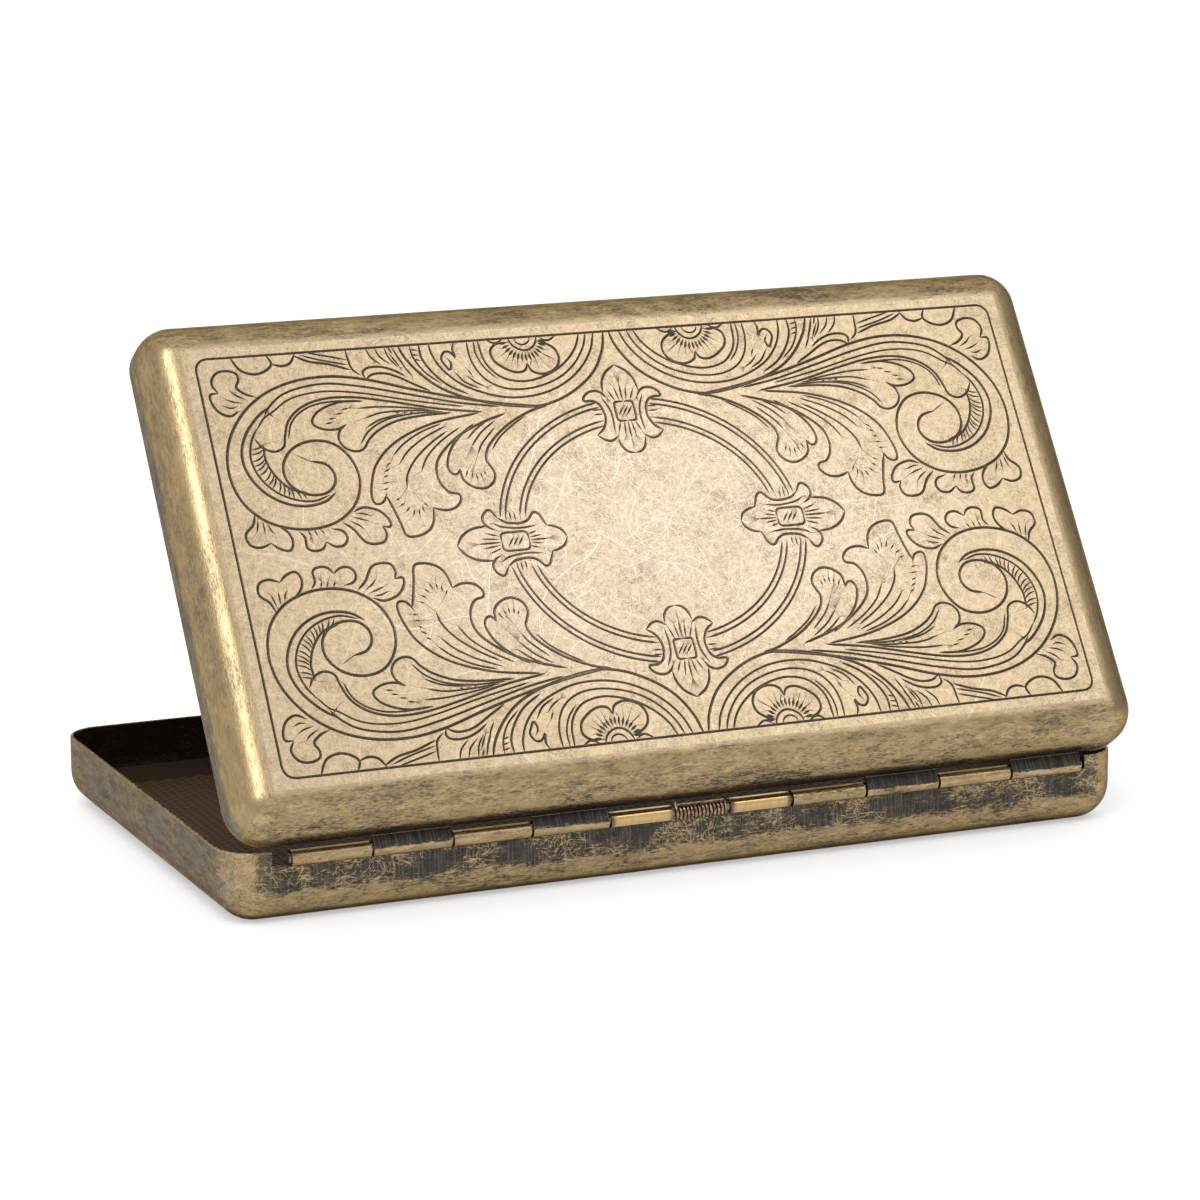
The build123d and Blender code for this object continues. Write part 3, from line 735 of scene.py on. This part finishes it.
LEAVES = [
    # tall three-lobed leaf
    (0.28, [(29.4, 6.4), (28.9, 4.8), (28.5, 3.2), (28.1, 1.7), (26.7, 1.6), (25.4, 2.2),
            (24.7, 3.3), (24.5, 4.6)]),
    (0.28, [(24.5, 4.6), (23.3, 4.2), (22.0, 4.4), (21.2, 5.2), (21.3, 5.9), (22.3, 6.2),
            (23.0, 7.2), (23.2, 8.5), (22.8, 9.9), (21.5, 11.3), (19.5, 12.7), (17.0, 13.8),
            (14.0, 14.7)]),
    (0.26, [(29.3, 6.6), (29.9, 5.7), (30.8, 5.6), (31.0, 6.6), (30.6, 8.2), (29.8, 9.9),
            (28.3, 11.5), (26.3, 12.8), (23.8, 13.8), (21.0, 14.5), (17.0, 15.0)]),
    (0.22, [(26.9, 7.1), (26.5, 8.6), (25.2, 10.3), (23.2, 11.9), (21.0, 13.2)]),
    (0.20, [(24.9, 8.8), (23.8, 10.5), (21.9, 12.1), (19.5, 13.5)]),
    (0.20, [(27.1, 9.9), (25.8, 11.3), (23.6, 12.7), (21.0, 13.8)]),
    (0.20, [(27.6, 10.9), (26.2, 12.1), (24.0, 13.3), (21.5, 14.1)]),
    # smaller leaf nearer the middle
    (0.28, [(17.8, 13.8), (19.8, 12.4), (21.2, 10.8), (21.8, 9.2), (21.5, 8.3), (20.9, 8.2),
            (20.5, 8.8)]),
    (0.28, [(20.5, 8.8), (20.4, 7.5), (19.5, 6.6), (18.2, 6.3), (17.1, 6.9), (16.7, 7.9),
            (17.0, 8.8), (17.3, 9.6), (16.8, 10.9), (15.3, 12.4), (13.2, 13.8), (10.6, 14.9),
            (9.0, 15.2)]),
    (0.20, [(18.1, 10.3), (17.3, 11.5), (15.5, 13.2)]),
    (0.20, [(18.6, 11.2), (17.2, 12.7), (15.3, 14.0)]),
    (0.20, [(18.9, 12.1), (17.6, 13.2), (15.9, 14.2)]),
    (0.20, [(16.4, 10.6), (15.2, 12.0), (13.4, 13.3), (11.8, 14.2)]),
    # low leaf beside the stem
    (0.26, [(32.0, 14.9), (32.9, 14.2), (33.2, 13.1), (32.6, 12.1), (31.5, 11.7), (30.6, 12.0),
            (29.9, 12.9), (28.6, 13.9), (26.4, 14.8), (23.5, 15.2), (20.0, 15.3)]),
    (0.26, [(32.0, 14.9), (33.1, 14.4), (34.6, 14.5), (35.7, 15.2), (35.3, 16.2), (34.0, 17.0),
            (32.0, 17.5), (29.6, 17.4)]),
    (0.20, [(30.9, 12.5), (29.7, 13.9), (27.6, 15.0), (24.6, 15.5), (21.0, 15.5)]),
    (0.20, [(29.9, 14.3), (28.2, 15.1), (25.6, 15.6)]),
    (0.20, [(29.9, 15.4), (27.8, 15.9), (24.8, 15.9), (21.8, 15.7)]),
    (0.20, [(30.3, 16.6), (28.0, 16.6), (25.2, 16.3), (22.6, 15.9)]),
]
ROSETTE = [
    # arcs round the half rosette at the edge of the plate
    (0.30, [(0.3, 23.5), (0.9, 21.4), (2.4, 19.0), (4.6, 17.2), (7.2, 15.9), (9.8, 15.3),
            (12.6, 15.5), (15.4, 16.1), (18.2, 17.0), (20.6, 18.3), (22.4, 20.0), (23.7, 21.9),
            (24.3, 23.5)]),
    (0.24, [(1.5, 23.5), (2.2, 21.6), (3.6, 19.7), (5.6, 18.1), (8.0, 17.0), (10.6, 16.5),
            (13.4, 16.6), (16.0, 17.4), (18.2, 18.6), (19.8, 20.3), (20.6, 22.0), (20.8, 23.5)]),
    (0.22, [(2.4, 23.5), (3.1, 21.8), (4.4, 20.1), (6.2, 18.7), (8.4, 17.8), (10.8, 17.4),
            (13.0, 17.6), (14.8, 18.5), (15.9, 19.9), (16.4, 21.6), (16.4, 23.5)]),
    (0.24, [(3.2, 23.5), (3.9, 22.0), (5.1, 20.6), (6.8, 19.4), (8.8, 18.6), (10.8, 18.3),
            (12.8, 18.7), (14.1, 19.7), (14.9, 21.2), (15.1, 23.5)]),
    (0.20, [(15.6, 23.5), (15.6, 21.8), (15.0, 20.2), (13.9, 18.9)]),
    (0.26, [(21.9, 23.5), (21.9, 21.9), (21.1, 20.2), (19.6, 18.5), (17.6, 17.3)]),
    (0.20, [(23.0, 23.5), (22.8, 21.9), (21.9, 20.2), (20.4, 18.8)]),
    (0.20, [(22.1, 21.6), (22.8, 21.8)]),
    (0.20, [(22.2, 22.2), (23.0, 22.4)]),
    (0.20, [(22.2, 22.8), (23.1, 23.0)]),
    # leaf curling beside it
    (0.26, [(17.9, 23.4), (18.2, 22.6), (18.0, 21.6), (18.5, 22.3), (19.2, 22.4), (19.7, 21.6),
            (19.4, 20.8), (19.0, 20.2), (18.7, 21.0), (19.0, 21.6)]),
    (0.22, [(18.5, 19.9), (17.6, 18.7), (16.2, 17.9)]),
    (0.20, [(17.2, 19.4), (16.4, 18.6), (15.4, 18.0)]),
    (0.20, [(17.0, 20.2), (16.6, 19.4)]),
    # petals and heart
    (0.28, [(11.9, 23.0), (13.1, 22.9), (13.9, 22.1), (13.7, 20.9), (12.6, 19.9), (11.4, 19.4),
            (10.4, 19.6), (10.0, 20.4)]),
    (0.28, [(10.0, 20.4), (9.6, 19.4), (8.3, 19.0), (6.9, 19.5), (6.2, 20.6), (6.4, 21.8),
            (7.4, 22.6), (8.3, 22.9)]),
    (0.24, [(8.2, 23.5), (8.6, 22.6), (9.4, 22.0), (10.3, 22.0), (11.2, 22.6), (11.6, 23.5)]),
    (0.20, [(9.0, 23.5), (9.3, 22.9), (10.0, 22.6), (10.7, 22.9), (10.9, 23.5)]),
    (0.24, [(5.9, 23.5), (7.0, 22.9), (7.9, 23.3)]),
    (0.24, [(14.2, 23.5), (13.2, 23.0), (12.2, 23.4)]),
]
EDGE_LEAVES = [
    # torn leaf between the stem and the border
    (0.26, [(28.7, 19.9), (27.8, 20.4), (26.4, 20.4), (25.1, 19.9), (23.6, 19.0), (21.8, 18.0)]),
    (0.26, [(28.7, 19.9), (28.9, 20.7), (28.2, 21.2), (26.8, 21.2), (25.4, 20.7), (24.2, 19.9)]),
    (0.20, [(26.6, 21.4), (27.6, 22.4), (28.0, 23.5)]),
    (0.20, [(25.6, 21.4), (26.6, 22.4), (27.0, 23.5)]),
    (0.20, [(24.8, 21.0), (25.6, 22.2), (25.9, 23.5)]),
    (0.24, [(30.3, 23.5), (30.2, 22.4), (30.0, 21.2), (29.2, 20.4)]),
    (0.26, [(36.2, 23.2), (34.6, 22.4), (32.4, 21.9), (30.2, 21.1)]),
    (0.20, [(35.4, 23.2), (33.4, 22.5), (30.4, 21.7)]),
    (0.20, [(34.6, 23.4), (32.6, 22.9), (30.4, 22.3)]),
    # lobes along the border
    (0.28, [(43.2, 23.5), (42.4, 22.0), (41.1, 21.4), (39.8, 21.6), (38.8, 22.4), (39.2, 23.5)]),
    (0.28, [(38.8, 22.4), (37.7, 22.1), (36.7, 22.4), (36.0, 23.4)]),
    # corner leaflet
    (0.28, [(41.4, 18.8), (42.4, 19.2), (43.2, 20.0), (42.8, 20.8), (42.9, 21.6), (44.0, 22.0),
            (45.2, 21.7), (45.8, 20.6), (45.3, 19.5)]),
    (0.28, [(45.3, 19.5), (46.2, 19.4), (46.2, 18.4), (45.6, 17.3), (44.5, 16.8), (43.5, 17.3)]),
    (0.20, [(43.6, 17.8), (44.3, 17.7), (45.0, 18.0)]),
    (0.20, [(43.0, 18.2), (43.9, 18.4), (44.7, 18.8)]),
    (0.20, [(42.5, 18.6), (43.4, 19.1), (44.0, 19.7)]),
    # leaflets round the outside of the scroll
    (0.28, [(44.2, 5.5), (44.6, 4.4), (45.6, 3.4), (45.4, 2.2), (44.3, 1.8), (43.1, 2.2)]),
    (0.28, [(43.1, 2.2), (42.3, 1.5), (41.2, 1.2), (40.7, 2.1), (41.0, 3.2), (42.0, 4.2)]),
    (0.20, [(44.0, 4.9), (44.2, 4.0), (44.4, 3.5)]),
    (0.20, [(43.5, 4.6), (43.5, 3.8), (43.5, 3.3)]),
    (0.20, [(43.0, 4.3), (42.8, 3.6), (42.5, 3.2)]),
    (0.28, [(39.8, 3.2), (39.3, 2.5), (39.3, 1.3), (38.5, 0.9), (37.6, 1.1), (37.1, 1.8)]),
    (0.28, [(37.1, 1.8), (36.2, 1.2), (35.2, 1.3), (34.7, 2.1), (35.1, 2.9), (36.1, 3.2)]),
    (0.20, [(38.8, 3.2), (38.6, 2.6)]),
    (0.20, [(38.1, 3.2), (37.9, 2.6)]),
    (0.20, [(37.4, 3.2), (37.1, 2.7)]),
    (0.28, [(34.8, 3.8), (33.8, 2.9), (32.9, 1.5), (31.9, 1.1), (30.7, 1.3), (30.3, 2.2),
            (30.6, 3.0)]),
    (0.28, [(30.6, 3.0), (29.7, 2.9), (29.7, 3.7), (30.6, 4.8), (32.2, 5.3), (33.4, 4.9)]),
    (0.20, [(34.0, 3.9), (33.2, 3.4), (32.6, 2.8)]),
    (0.20, [(33.6, 4.3), (32.7, 4.0), (31.9, 3.7)]),
    (0.20, [(33.2, 4.7), (32.4, 4.6), (31.6, 4.3)]),
]
# clasps on the ring: half of one, as (outward from the ring, along the ring)
SIDE_CLASP = [
    (0.26, [(1.6, 0), (1.6, 0.6), (1.3, 1.0), (0, 1.05), (-1.2, 1.0), (-1.5, 0.6), (-1.5, 0)]),
    (0.22, [(2.1, 2.2), (1.1, 1.7), (-0.9, 1.45), (-2.6, 1.6)]),
    (0.28, [(1.5, 2.8), (0.6, 2.2), (-0.9, 2.0), (-1.9, 2.3), (-2.7, 3.1), (-3.3, 2.8), (-3.7, 1.9),
            (-3.9, 1.5)]),
    (0.28, [(1.5, 2.8), (2.2, 3.8), (3.0, 3.3), (3.2, 2.5), (2.7, 1.8), (2.1, 1.5)]),
    (0.28, [(2.9, 2.0), (4.6, 1.8), (5.9, 1.1), (6.7, 0)]),
    (0.28, [(-3.8, 1.5), (-4.7, 1.3), (-5.5, 0.8), (-5.9, 0)]),
    (0.22, [(1.8, 0.0), (4.3, 0.0)]),
    (0.20, [(1.9, 0.35), (3.8, 0.55)]),
    (0.20, [(1.8, 0.7), (3.2, 1.15)]),
    (0.22, [(-1.7, 0.0), (-3.7, 0.0)]),
    (0.20, [(-1.7, 0.3), (-3.0, 0.5)]),
    (0.20, [(-1.6, 0.7), (-2.5, 0.95)]),
    (0.20, [(0.0, 2.4), (0.0, 3.4)]),
    (0.20, [(-0.5, 2.4), (-0.5, 3.2)]),
    (0.20, [(0.5, 2.5), (0.5, 3.2)]),
]
END_CLASP = [
    (0.26, [(1.1, 0), (1.1, 0.9), (0.8, 1.1), (-0.9, 1.1), (-1.15, 0.9), (-1.15, 0)]),
    (0.22, [(-2.4, 1.8), (-0.9, 1.65), (0.4, 1.8), (1.7, 2.4)]),
    (0.28, [(-2.6, 3.9), (-1.9, 3.0), (-0.9, 2.5), (0.0, 2.5), (0.9, 2.8), (1.4, 3.5), (1.5, 4.6),
            (2.3, 4.1), (2.6, 3.1), (2.3, 2.3), (1.6, 1.8)]),
    (0.28, [(-2.6, 3.9), (-3.2, 3.2), (-3.4, 2.4), (-2.9, 1.5)]),
    (0.28, [(-3.2, 1.6), (-4.1, 1.4), (-4.8, 0.8), (-5.0, 0)]),
    (0.28, [(2.4, 2.1), (3.6, 1.9), (4.7, 1.2), (5.5, 0)]),
    (0.22, [(1.3, 0), (3.3, 0)]),
    (0.20, [(1.3, 0.4), (2.9, 0.7)]),
    (0.20, [(1.3, 0.9), (2.5, 1.5)]),
    (0.22, [(-1.3, 0), (-3.3, 0)]),
    (0.20, [(-1.3, 0.4), (-2.9, 0.6)]),
    (0.20, [(-1.3, 0.9), (-2.4, 1.3)]),
    (0.20, [(0.35, 2.7), (0.35, 3.9)]),
    (0.20, [(-0.2, 2.7), (-0.2, 3.7)]),
]
TICKS = [
    # short cuts inside the tips of the leaves
    (0.20, [(26.9, 3.9), (26.6, 4.6)]), (0.20, [(26.2, 3.9), (26.1, 4.6)]),
    (0.20, [(25.6, 4.2), (25.7, 4.9)]), (0.20, [(25.1, 4.8), (25.4, 5.3)]),
    (0.20, [(27.6, 4.4), (27.1, 4.9)]), (0.20, [(28.1, 5.1), (27.6, 5.4)]),
    (0.20, [(28.4, 5.8), (27.9, 6.0)]), (0.20, [(29.5, 7.1), (29.0, 7.2)]),
    (0.20, [(29.4, 7.8), (28.8, 7.9)]), (0.20, [(29.2, 8.5), (28.7, 8.7)]),
    (0.20, [(29.0, 9.1), (28.4, 9.4)]), (0.20, [(28.6, 9.8), (28.1, 10.1)]),
    (0.20, [(20.0, 7.9), (19.7, 8.5)]), (0.20, [(19.4, 7.6), (19.2, 8.2)]),
    (0.20, [(18.8, 7.4), (18.8, 8.0)]), (0.20, [(18.2, 7.5), (18.3, 8.1)]),
    (0.20, [(17.7, 7.8), (17.9, 8.3)]), (0.20, [(34.3, 15.1), (33.5, 15.2)]),
    (0.20, [(33.8, 15.6), (33.1, 15.7)]), (0.20, [(33.0, 16.1), (32.2, 16.2)]),
    (0.20, [(32.2, 16.6), (31.4, 16.7)]), (0.20, [(25.9, 15.75), (26.2, 15.75)]),
    (0.20, [(25.1, 15.7), (25.4, 15.7)]), (0.20, [(24.3, 15.65), (24.6, 15.65)]),
    (0.20, [(23.5, 15.6), (23.8, 15.6)]), (0.20, [(23.9, 12.6), (24.2, 12.4)]),
    (0.20, [(23.2, 12.9), (23.5, 12.7)]), (0.20, [(22.5, 13.2), (22.8, 13.0)]),
    (0.20, [(24.6, 12.2), (24.9, 12.0)]), (0.20, [(25.3, 11.8), (25.6, 11.5)]),
    (0.22, [(24.3, 21.4), (25.0, 23.4)]), (0.22, [(23.9, 20.6), (24.5, 22.2)]),
    (0.22, [(24.6, 21.0), (25.4, 22.6)]), (0.22, [(25.1, 22.6), (25.5, 23.5)]),
    (0.22, [(23.4, 19.8), (24.2, 21.2)]),
]
BORDER_HALF, BORDER_CORNER = (47.15, 23.5), 1.3
RING_MIDDLE = (16.15, 13.95)
CUT_DEPTH = 0.10
FULL_CUT_HALF = 0.13      # half width of the narrowest cut that reaches the full depth


def engraved_line(points, step=0.28):
    """Evenly spaced points on a smooth line through the given ones."""
    set_out = np.array(points, float)
    if len(set_out) == 2:
        count = max(3, int(np.hypot(*(set_out[1] - set_out[0])) / step) + 2)
        return set_out[0] + (set_out[1] - set_out[0]) * np.linspace(0, 1, count)[:, None]
    ends = np.vstack([2 * set_out[0] - set_out[1], set_out, 2 * set_out[-1] - set_out[-2]])
    pieces = []
    t = np.linspace(0, 1, 16, endpoint=False)[:, None]
    for a, b, c, d in zip(ends[:-3], ends[1:-2], ends[2:-1], ends[3:]):
        square, cube = (2 * a - 5 * b + 4 * c - d) * t**2, (3 * b - a - 3 * c + d) * t**3
        pieces.append(0.5 * (2 * b + (c - a) * t + square + cube))
    dense = np.vstack(pieces + [set_out[-1:]])
    run = np.r_[0, np.cumsum(np.hypot(*np.diff(dense, axis=0).T))]
    even = np.linspace(0, run[-1], max(3, int(round(run[-1] / step)) + 1))
    return np.stack([np.interp(even, run, dense[:, 0]), np.interp(even, run, dense[:, 1])], 1)


# every cut of one quarter, as (width, points)
quarter = SCROLL + LEAVES + ROSETTE + EDGE_LEAVES + TICKS
quarter += [(w, [(RING_MIDDLE[0] + r, t) for r, t in cut]) for w, cut in SIDE_CLASP]
quarter += [(w, [(t, RING_MIDDLE[1] + r) for r, t in cut]) for w, cut in END_CLASP]
# ring: two double lines between the clasps
for radius_x, radius_y in ((17.6, 15.4), (17.0, 14.8), (15.4, 13.2), (14.8, 12.6)):
    first = math.asin(2.9 / radius_y)
    last = math.acos(3.0 / radius_x)
    turn = np.linspace(first, last, 14)
    quarter.append((0.24, [(radius_x * math.cos(a), radius_y * math.sin(a)) for a in turn]))
# ribs across the band inside the scroll
outer_rail = engraved_line(
    [(36.2, 6.7), (39.4, 6.9), (41.4, 8.0), (42.8, 9.8), (43.2, 11.8), (42.7, 13.6)]
)
inner_rail = engraved_line(
    [(37.2, 7.2), (39.7, 8.1), (41.0, 9.6), (41.7, 11.5), (41.6, 13.2), (41.5, 13.6)]
)
for part in np.linspace(0.18, 0.94, 15):
    top = outer_rail[int(part * (len(outer_rail) - 1))]
    foot = inner_rail[int((part + 0.03) * (len(inner_rail) - 1))]
    lean = (top + foot) / 2 + (top - foot)[::-1] * np.array([0.10, -0.10])
    quarter.append((0.20, [tuple(top), tuple(lean), tuple(foot)]))
# fringe round the heart of each half rosette
rosette_heart = np.array([9.95, 23.4])
for turn in np.linspace(math.radians(12), math.radians(168), 15):
    ray = np.array([math.cos(turn), -math.sin(turn)])
    quarter.append((0.30, [tuple(rosette_heart + ray * 1.9), tuple(rosette_heart + ray * 2.75)]))

# the whole plate: the quarter mirrored, the border, and the slanting cuts in the clasps
cuts = []
for side in (1, -1):
    for end in (1, -1):
        cuts += [(w, engraved_line(p) * (side, end)) for w, p in quarter]
        for across in (-0.55, 0.0, 0.55):
            slant = np.array([[-0.35, -0.45], [0.35, 0.45]])
            if end == 1:
                cuts.append((0.22, engraved_line(slant + (side * RING_MIDDLE[0] + across, 0))))
            if side == 1:
                cuts.append((0.22, engraved_line(slant + (across * 0.9, end * RING_MIDDLE[1]))))
half_x, half_y = BORDER_HALF
round_x, round_y = half_x - BORDER_CORNER, half_y - BORDER_CORNER
border = []
for quarter_turn, (cx, cy) in enumerate(
    ((round_x, round_y), (-round_x, round_y), (-round_x, -round_y), (round_x, -round_y))
):
    for a in np.linspace(0, math.pi / 2, 7):
        a += quarter_turn * math.pi / 2
        border.append((cx + BORDER_CORNER * math.cos(a), cy + BORDER_CORNER * math.sin(a)))
border = np.array(border + border[:1])
run = np.r_[0, np.cumsum(np.hypot(*np.diff(border, axis=0).T))]
even = np.arange(0, run[-1] - 0.3, 0.5)
border_loop = np.stack([np.interp(even, run, border[:, 0]), np.interp(even, run, border[:, 1])], 1)

# plan of the cut plate: both banks and the bottom line of every cut, as edges that the
# triangles must keep
plan_points, plan_edges = [], []
deep_points, deep_half = [], []


def add_to_plan(line, closed=False):
    """Adds a line's points to the plan, and the edges between them."""
    first = len(plan_points)
    plan_points.extend(map(tuple, line))
    last = len(plan_points) - 1
    plan_edges.extend((i, i + 1) for i in range(first, last))
    if closed:
        plan_edges.append((last, first))


def remember_depth(line, half_widths):
    """Close marks along a cut's bottom line, with its half width there."""
    for (a, ha), (b, hb) in zip(zip(line[:-1], half_widths[:-1]), zip(line[1:], half_widths[1:])):
        for part in (0.0, 0.2, 0.4, 0.6, 0.8):
            deep_points.append(a + (b - a) * part)
            deep_half.append(ha + (hb - ha) * part)
    deep_points.append(line[-1])
    deep_half.append(half_widths[-1])


for width, line in cuts:
    step = np.gradient(line, axis=0)
    across = np.stack([-step[:, 1], step[:, 0]], 1) / np.maximum(np.hypot(*step.T), 1e-9)[:, None]
    along = np.arange(len(line)) / (len(line) - 1)
    reach = np.hypot(*np.diff(line, axis=0).T).sum()
    taper = min(0.45, 0.8 / reach)
    swell = np.clip(np.minimum(along, 1 - along) / taper, 0, 1) ** 0.7
    half = width * 0.58 * (0.30 + 0.70 * swell)
    bank_one, bank_two = line + across * half[:, None], line - across * half[:, None]
    add_to_plan(np.vstack([bank_one, bank_two[::-1]]), closed=True)
    add_to_plan(line)
    remember_depth(line, half)
step = np.roll(border_loop, -1, 0) - np.roll(border_loop, 1, 0)
across = np.stack([-step[:, 1], step[:, 0]], 1) / np.hypot(*step.T)[:, None]
for offset in (-0.15, 0.0, 0.15):
    add_to_plan(border_loop + across * offset, closed=True)
closed_loop = np.vstack([border_loop, border_loop[:1]])
remember_depth(closed_loop, np.full(len(closed_loop), 0.15))

def to_shut(points):
    """Points of the open lid, in mm, swung to where they lie when it is shut."""
    y, z = points[:, 1] - PIN_Y, points[:, 2] - PIN_Z
    c, s = math.cos(OPENED), math.sin(OPENED)
    return np.stack([points[:, 0], PIN_Y + y * c - z * s, PIN_Z + y * s + z * c], 1)


def to_open(points):
    """The way back from to_shut."""
    y, z = points[:, 1] - PIN_Y, points[:, 2] - PIN_Z
    c, s = math.cos(OPENED), math.sin(OPENED)
    return np.stack([points[:, 0], PIN_Y + y * c + z * s, PIN_Z - y * s + z * c], 1)


finder = kdtree.KDTree(len(deep_points))
for number, mark in enumerate(deep_points):
    finder.insert((mark[0], mark[1], 0), number)
finder.balance()


def cut_share(points):
    """0 on the untouched face, 1 at the bottom of a full cut."""
    share = np.zeros(len(points))
    for number, (x, y) in enumerate(points):
        for _, mark, gap in finder.find_range((x, y, 0), 0.2):
            full = min(1.0, deep_half[mark] / FULL_CUT_HALF)
            share[number] = max(share[number], (1 - gap / deep_half[mark]) * full)
    return share


# the pressed lid with its flat face swapped for the engraved one
lid = face_swapped(
    "lid",
    "lid_shell",
    LID_TOP,
    plan_points,
    plan_edges,
    cut_share,
    -CUT_DEPTH,
    to_shut,
    to_open,
    "engraved",
)
# the flat of the rim is let back a hair, so that the shut lid only just meets the base
RIM_LET_BACK = 0.02
spots = np.empty(len(lid.data.vertices) * 3)
lid.data.vertices.foreach_get("co", spots)
spots = to_shut(spots.reshape(-1, 3) / MM)
on_rim = (np.abs(spots[:, 2] - BASE_HEIGHT) < 0.005) & (spots[:, 1] < WIDTH / 2 + 0.01)
spots[on_rim, 2] += RIM_LET_BACK
lid.data.vertices.foreach_set("co", (to_open(spots) * MM).ravel())
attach(lid, "lid")
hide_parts("lid_shell")

lid_finish, tree, skin, place, handled, colour, rough, height = pressing_finish(
    "case brass lid", opened=OPENED, rim_z=BASE_HEIGHT, run_side=1.0, end_rub=1.0
)
engraved = put(tree, "Attribute", attribute_name="engraved").outputs["Fac"]
in_cut = ramp(tree, engraved, 0.02, 0.30)
broken = grain(tree, place, 4.0, detail=3.0)
in_cut = times(tree, in_cut, ramp(tree, broken, 0.25, 0.5, 0.6, 1.0))
in_cut = times(tree, in_cut, reckon(tree, "MULTIPLY_ADD", handled, -0.40, 1.0))
colour = tint(tree, in_cut, colour, (0.085, 0.063, 0.053, 1))
rough = reckon(tree, "MULTIPLY_ADD", in_cut, 0.3, rough)
close_finish(tree, skin, colour, rough, height, 0.010)
lid.data.materials.append(lid_finish)

# ---- table, light and camera ---------------------------------------------------------
# A wide white table top under a white sky with a grey card to one side, one soft lamp for the
# lid's face, and one that lays the bright stripe on the lid's rounded end.
floor_mesh = bpy.data.meshes.new("table_top")
reach = 4.0
floor_mesh.from_pydata(
    [(-reach, -reach, 0), (reach, -reach, 0), (reach, reach, 0), (-reach, reach, 0)], [], [(0, 1, 2, 3)]
)
table_top = bpy.data.objects.new("table_top", floor_mesh)
bpy.context.scene.collection.objects.link(table_top)
paint, tree, skin = new_finish("white table", metal=0.0)
skin.inputs["Base Color"].default_value = (0.60, 0.60, 0.60, 1)
skin.inputs["Roughness"].default_value = 0.9
skin.inputs["Specular IOR Level"].default_value = 0.0
skin.inputs["Emission Color"].default_value = (1.0, 1.0, 1.0, 1)
skin.inputs["Emission Strength"].default_value = 0.44
floor_mesh.materials.append(paint)

world = bpy.data.worlds.new("white studio")
bpy.context.scene.world = world
world.use_nodes = True
sky = world.node_tree
sky.nodes["Background"].inputs["Color"].default_value = (1.0, 1.0, 1.0, 1)
toward = put(sky, "SeparateXYZ", [(0, put(sky, "TexCoord").outputs["Generated"])]).outputs
carded = times(
    sky, ramp(sky, toward["X"], -0.96, -0.62, 0.50, 0.0), ramp(sky, toward["Z"], 0.45, 0.75, 1.0, 0.0)
)
sky.links.new(less(sky, 1.05, carded), sky.nodes["Background"].inputs["Strength"])


def soft_lamp(name, spot, aim, size, power):
    """A rectangular lamp at spot that faces aim; size in metres, power in watts."""
    data = bpy.data.lights.new(name, "AREA")
    data.shape = "RECTANGLE"
    data.size, data.size_y = size
    data.energy = power
    lamp = bpy.data.objects.new(name, data)
    bpy.context.scene.collection.objects.link(lamp)
    lamp.location = spot
    lamp.rotation_euler = (Vector(aim) - Vector(spot)).to_track_quat("-Z", "Y").to_euler()


soft_lamp("face lamp", (-0.39, 0.46, 0.69), (0, 0, 0.02), (0.30, 0.36), 0.48)
soft_lamp("edge lamp", (0.355, 0.495, 0.695), (0, 0, 0.02), (0.27, 0.50), 3.0)

camera_data = bpy.data.cameras.new("camera")
camera_data.sensor_width = 36.0
camera_data.lens = 130.2
camera_data.shift_x, camera_data.shift_y = -0.011, -0.069
camera_data.clip_start = 0.01
camera = bpy.data.objects.new("camera", camera_data)
bpy.context.scene.collection.objects.link(camera)
camera.location = (0.1896, 0.4331, 0.1302)
look = Vector((-0.3986, -0.8950, -0.2002))
camera.rotation_euler = look.to_track_quat("-Z", "Y").to_euler()
bpy.context.scene.camera = camera
bpy.context.scene.view_settings.view_transform = "Standard"
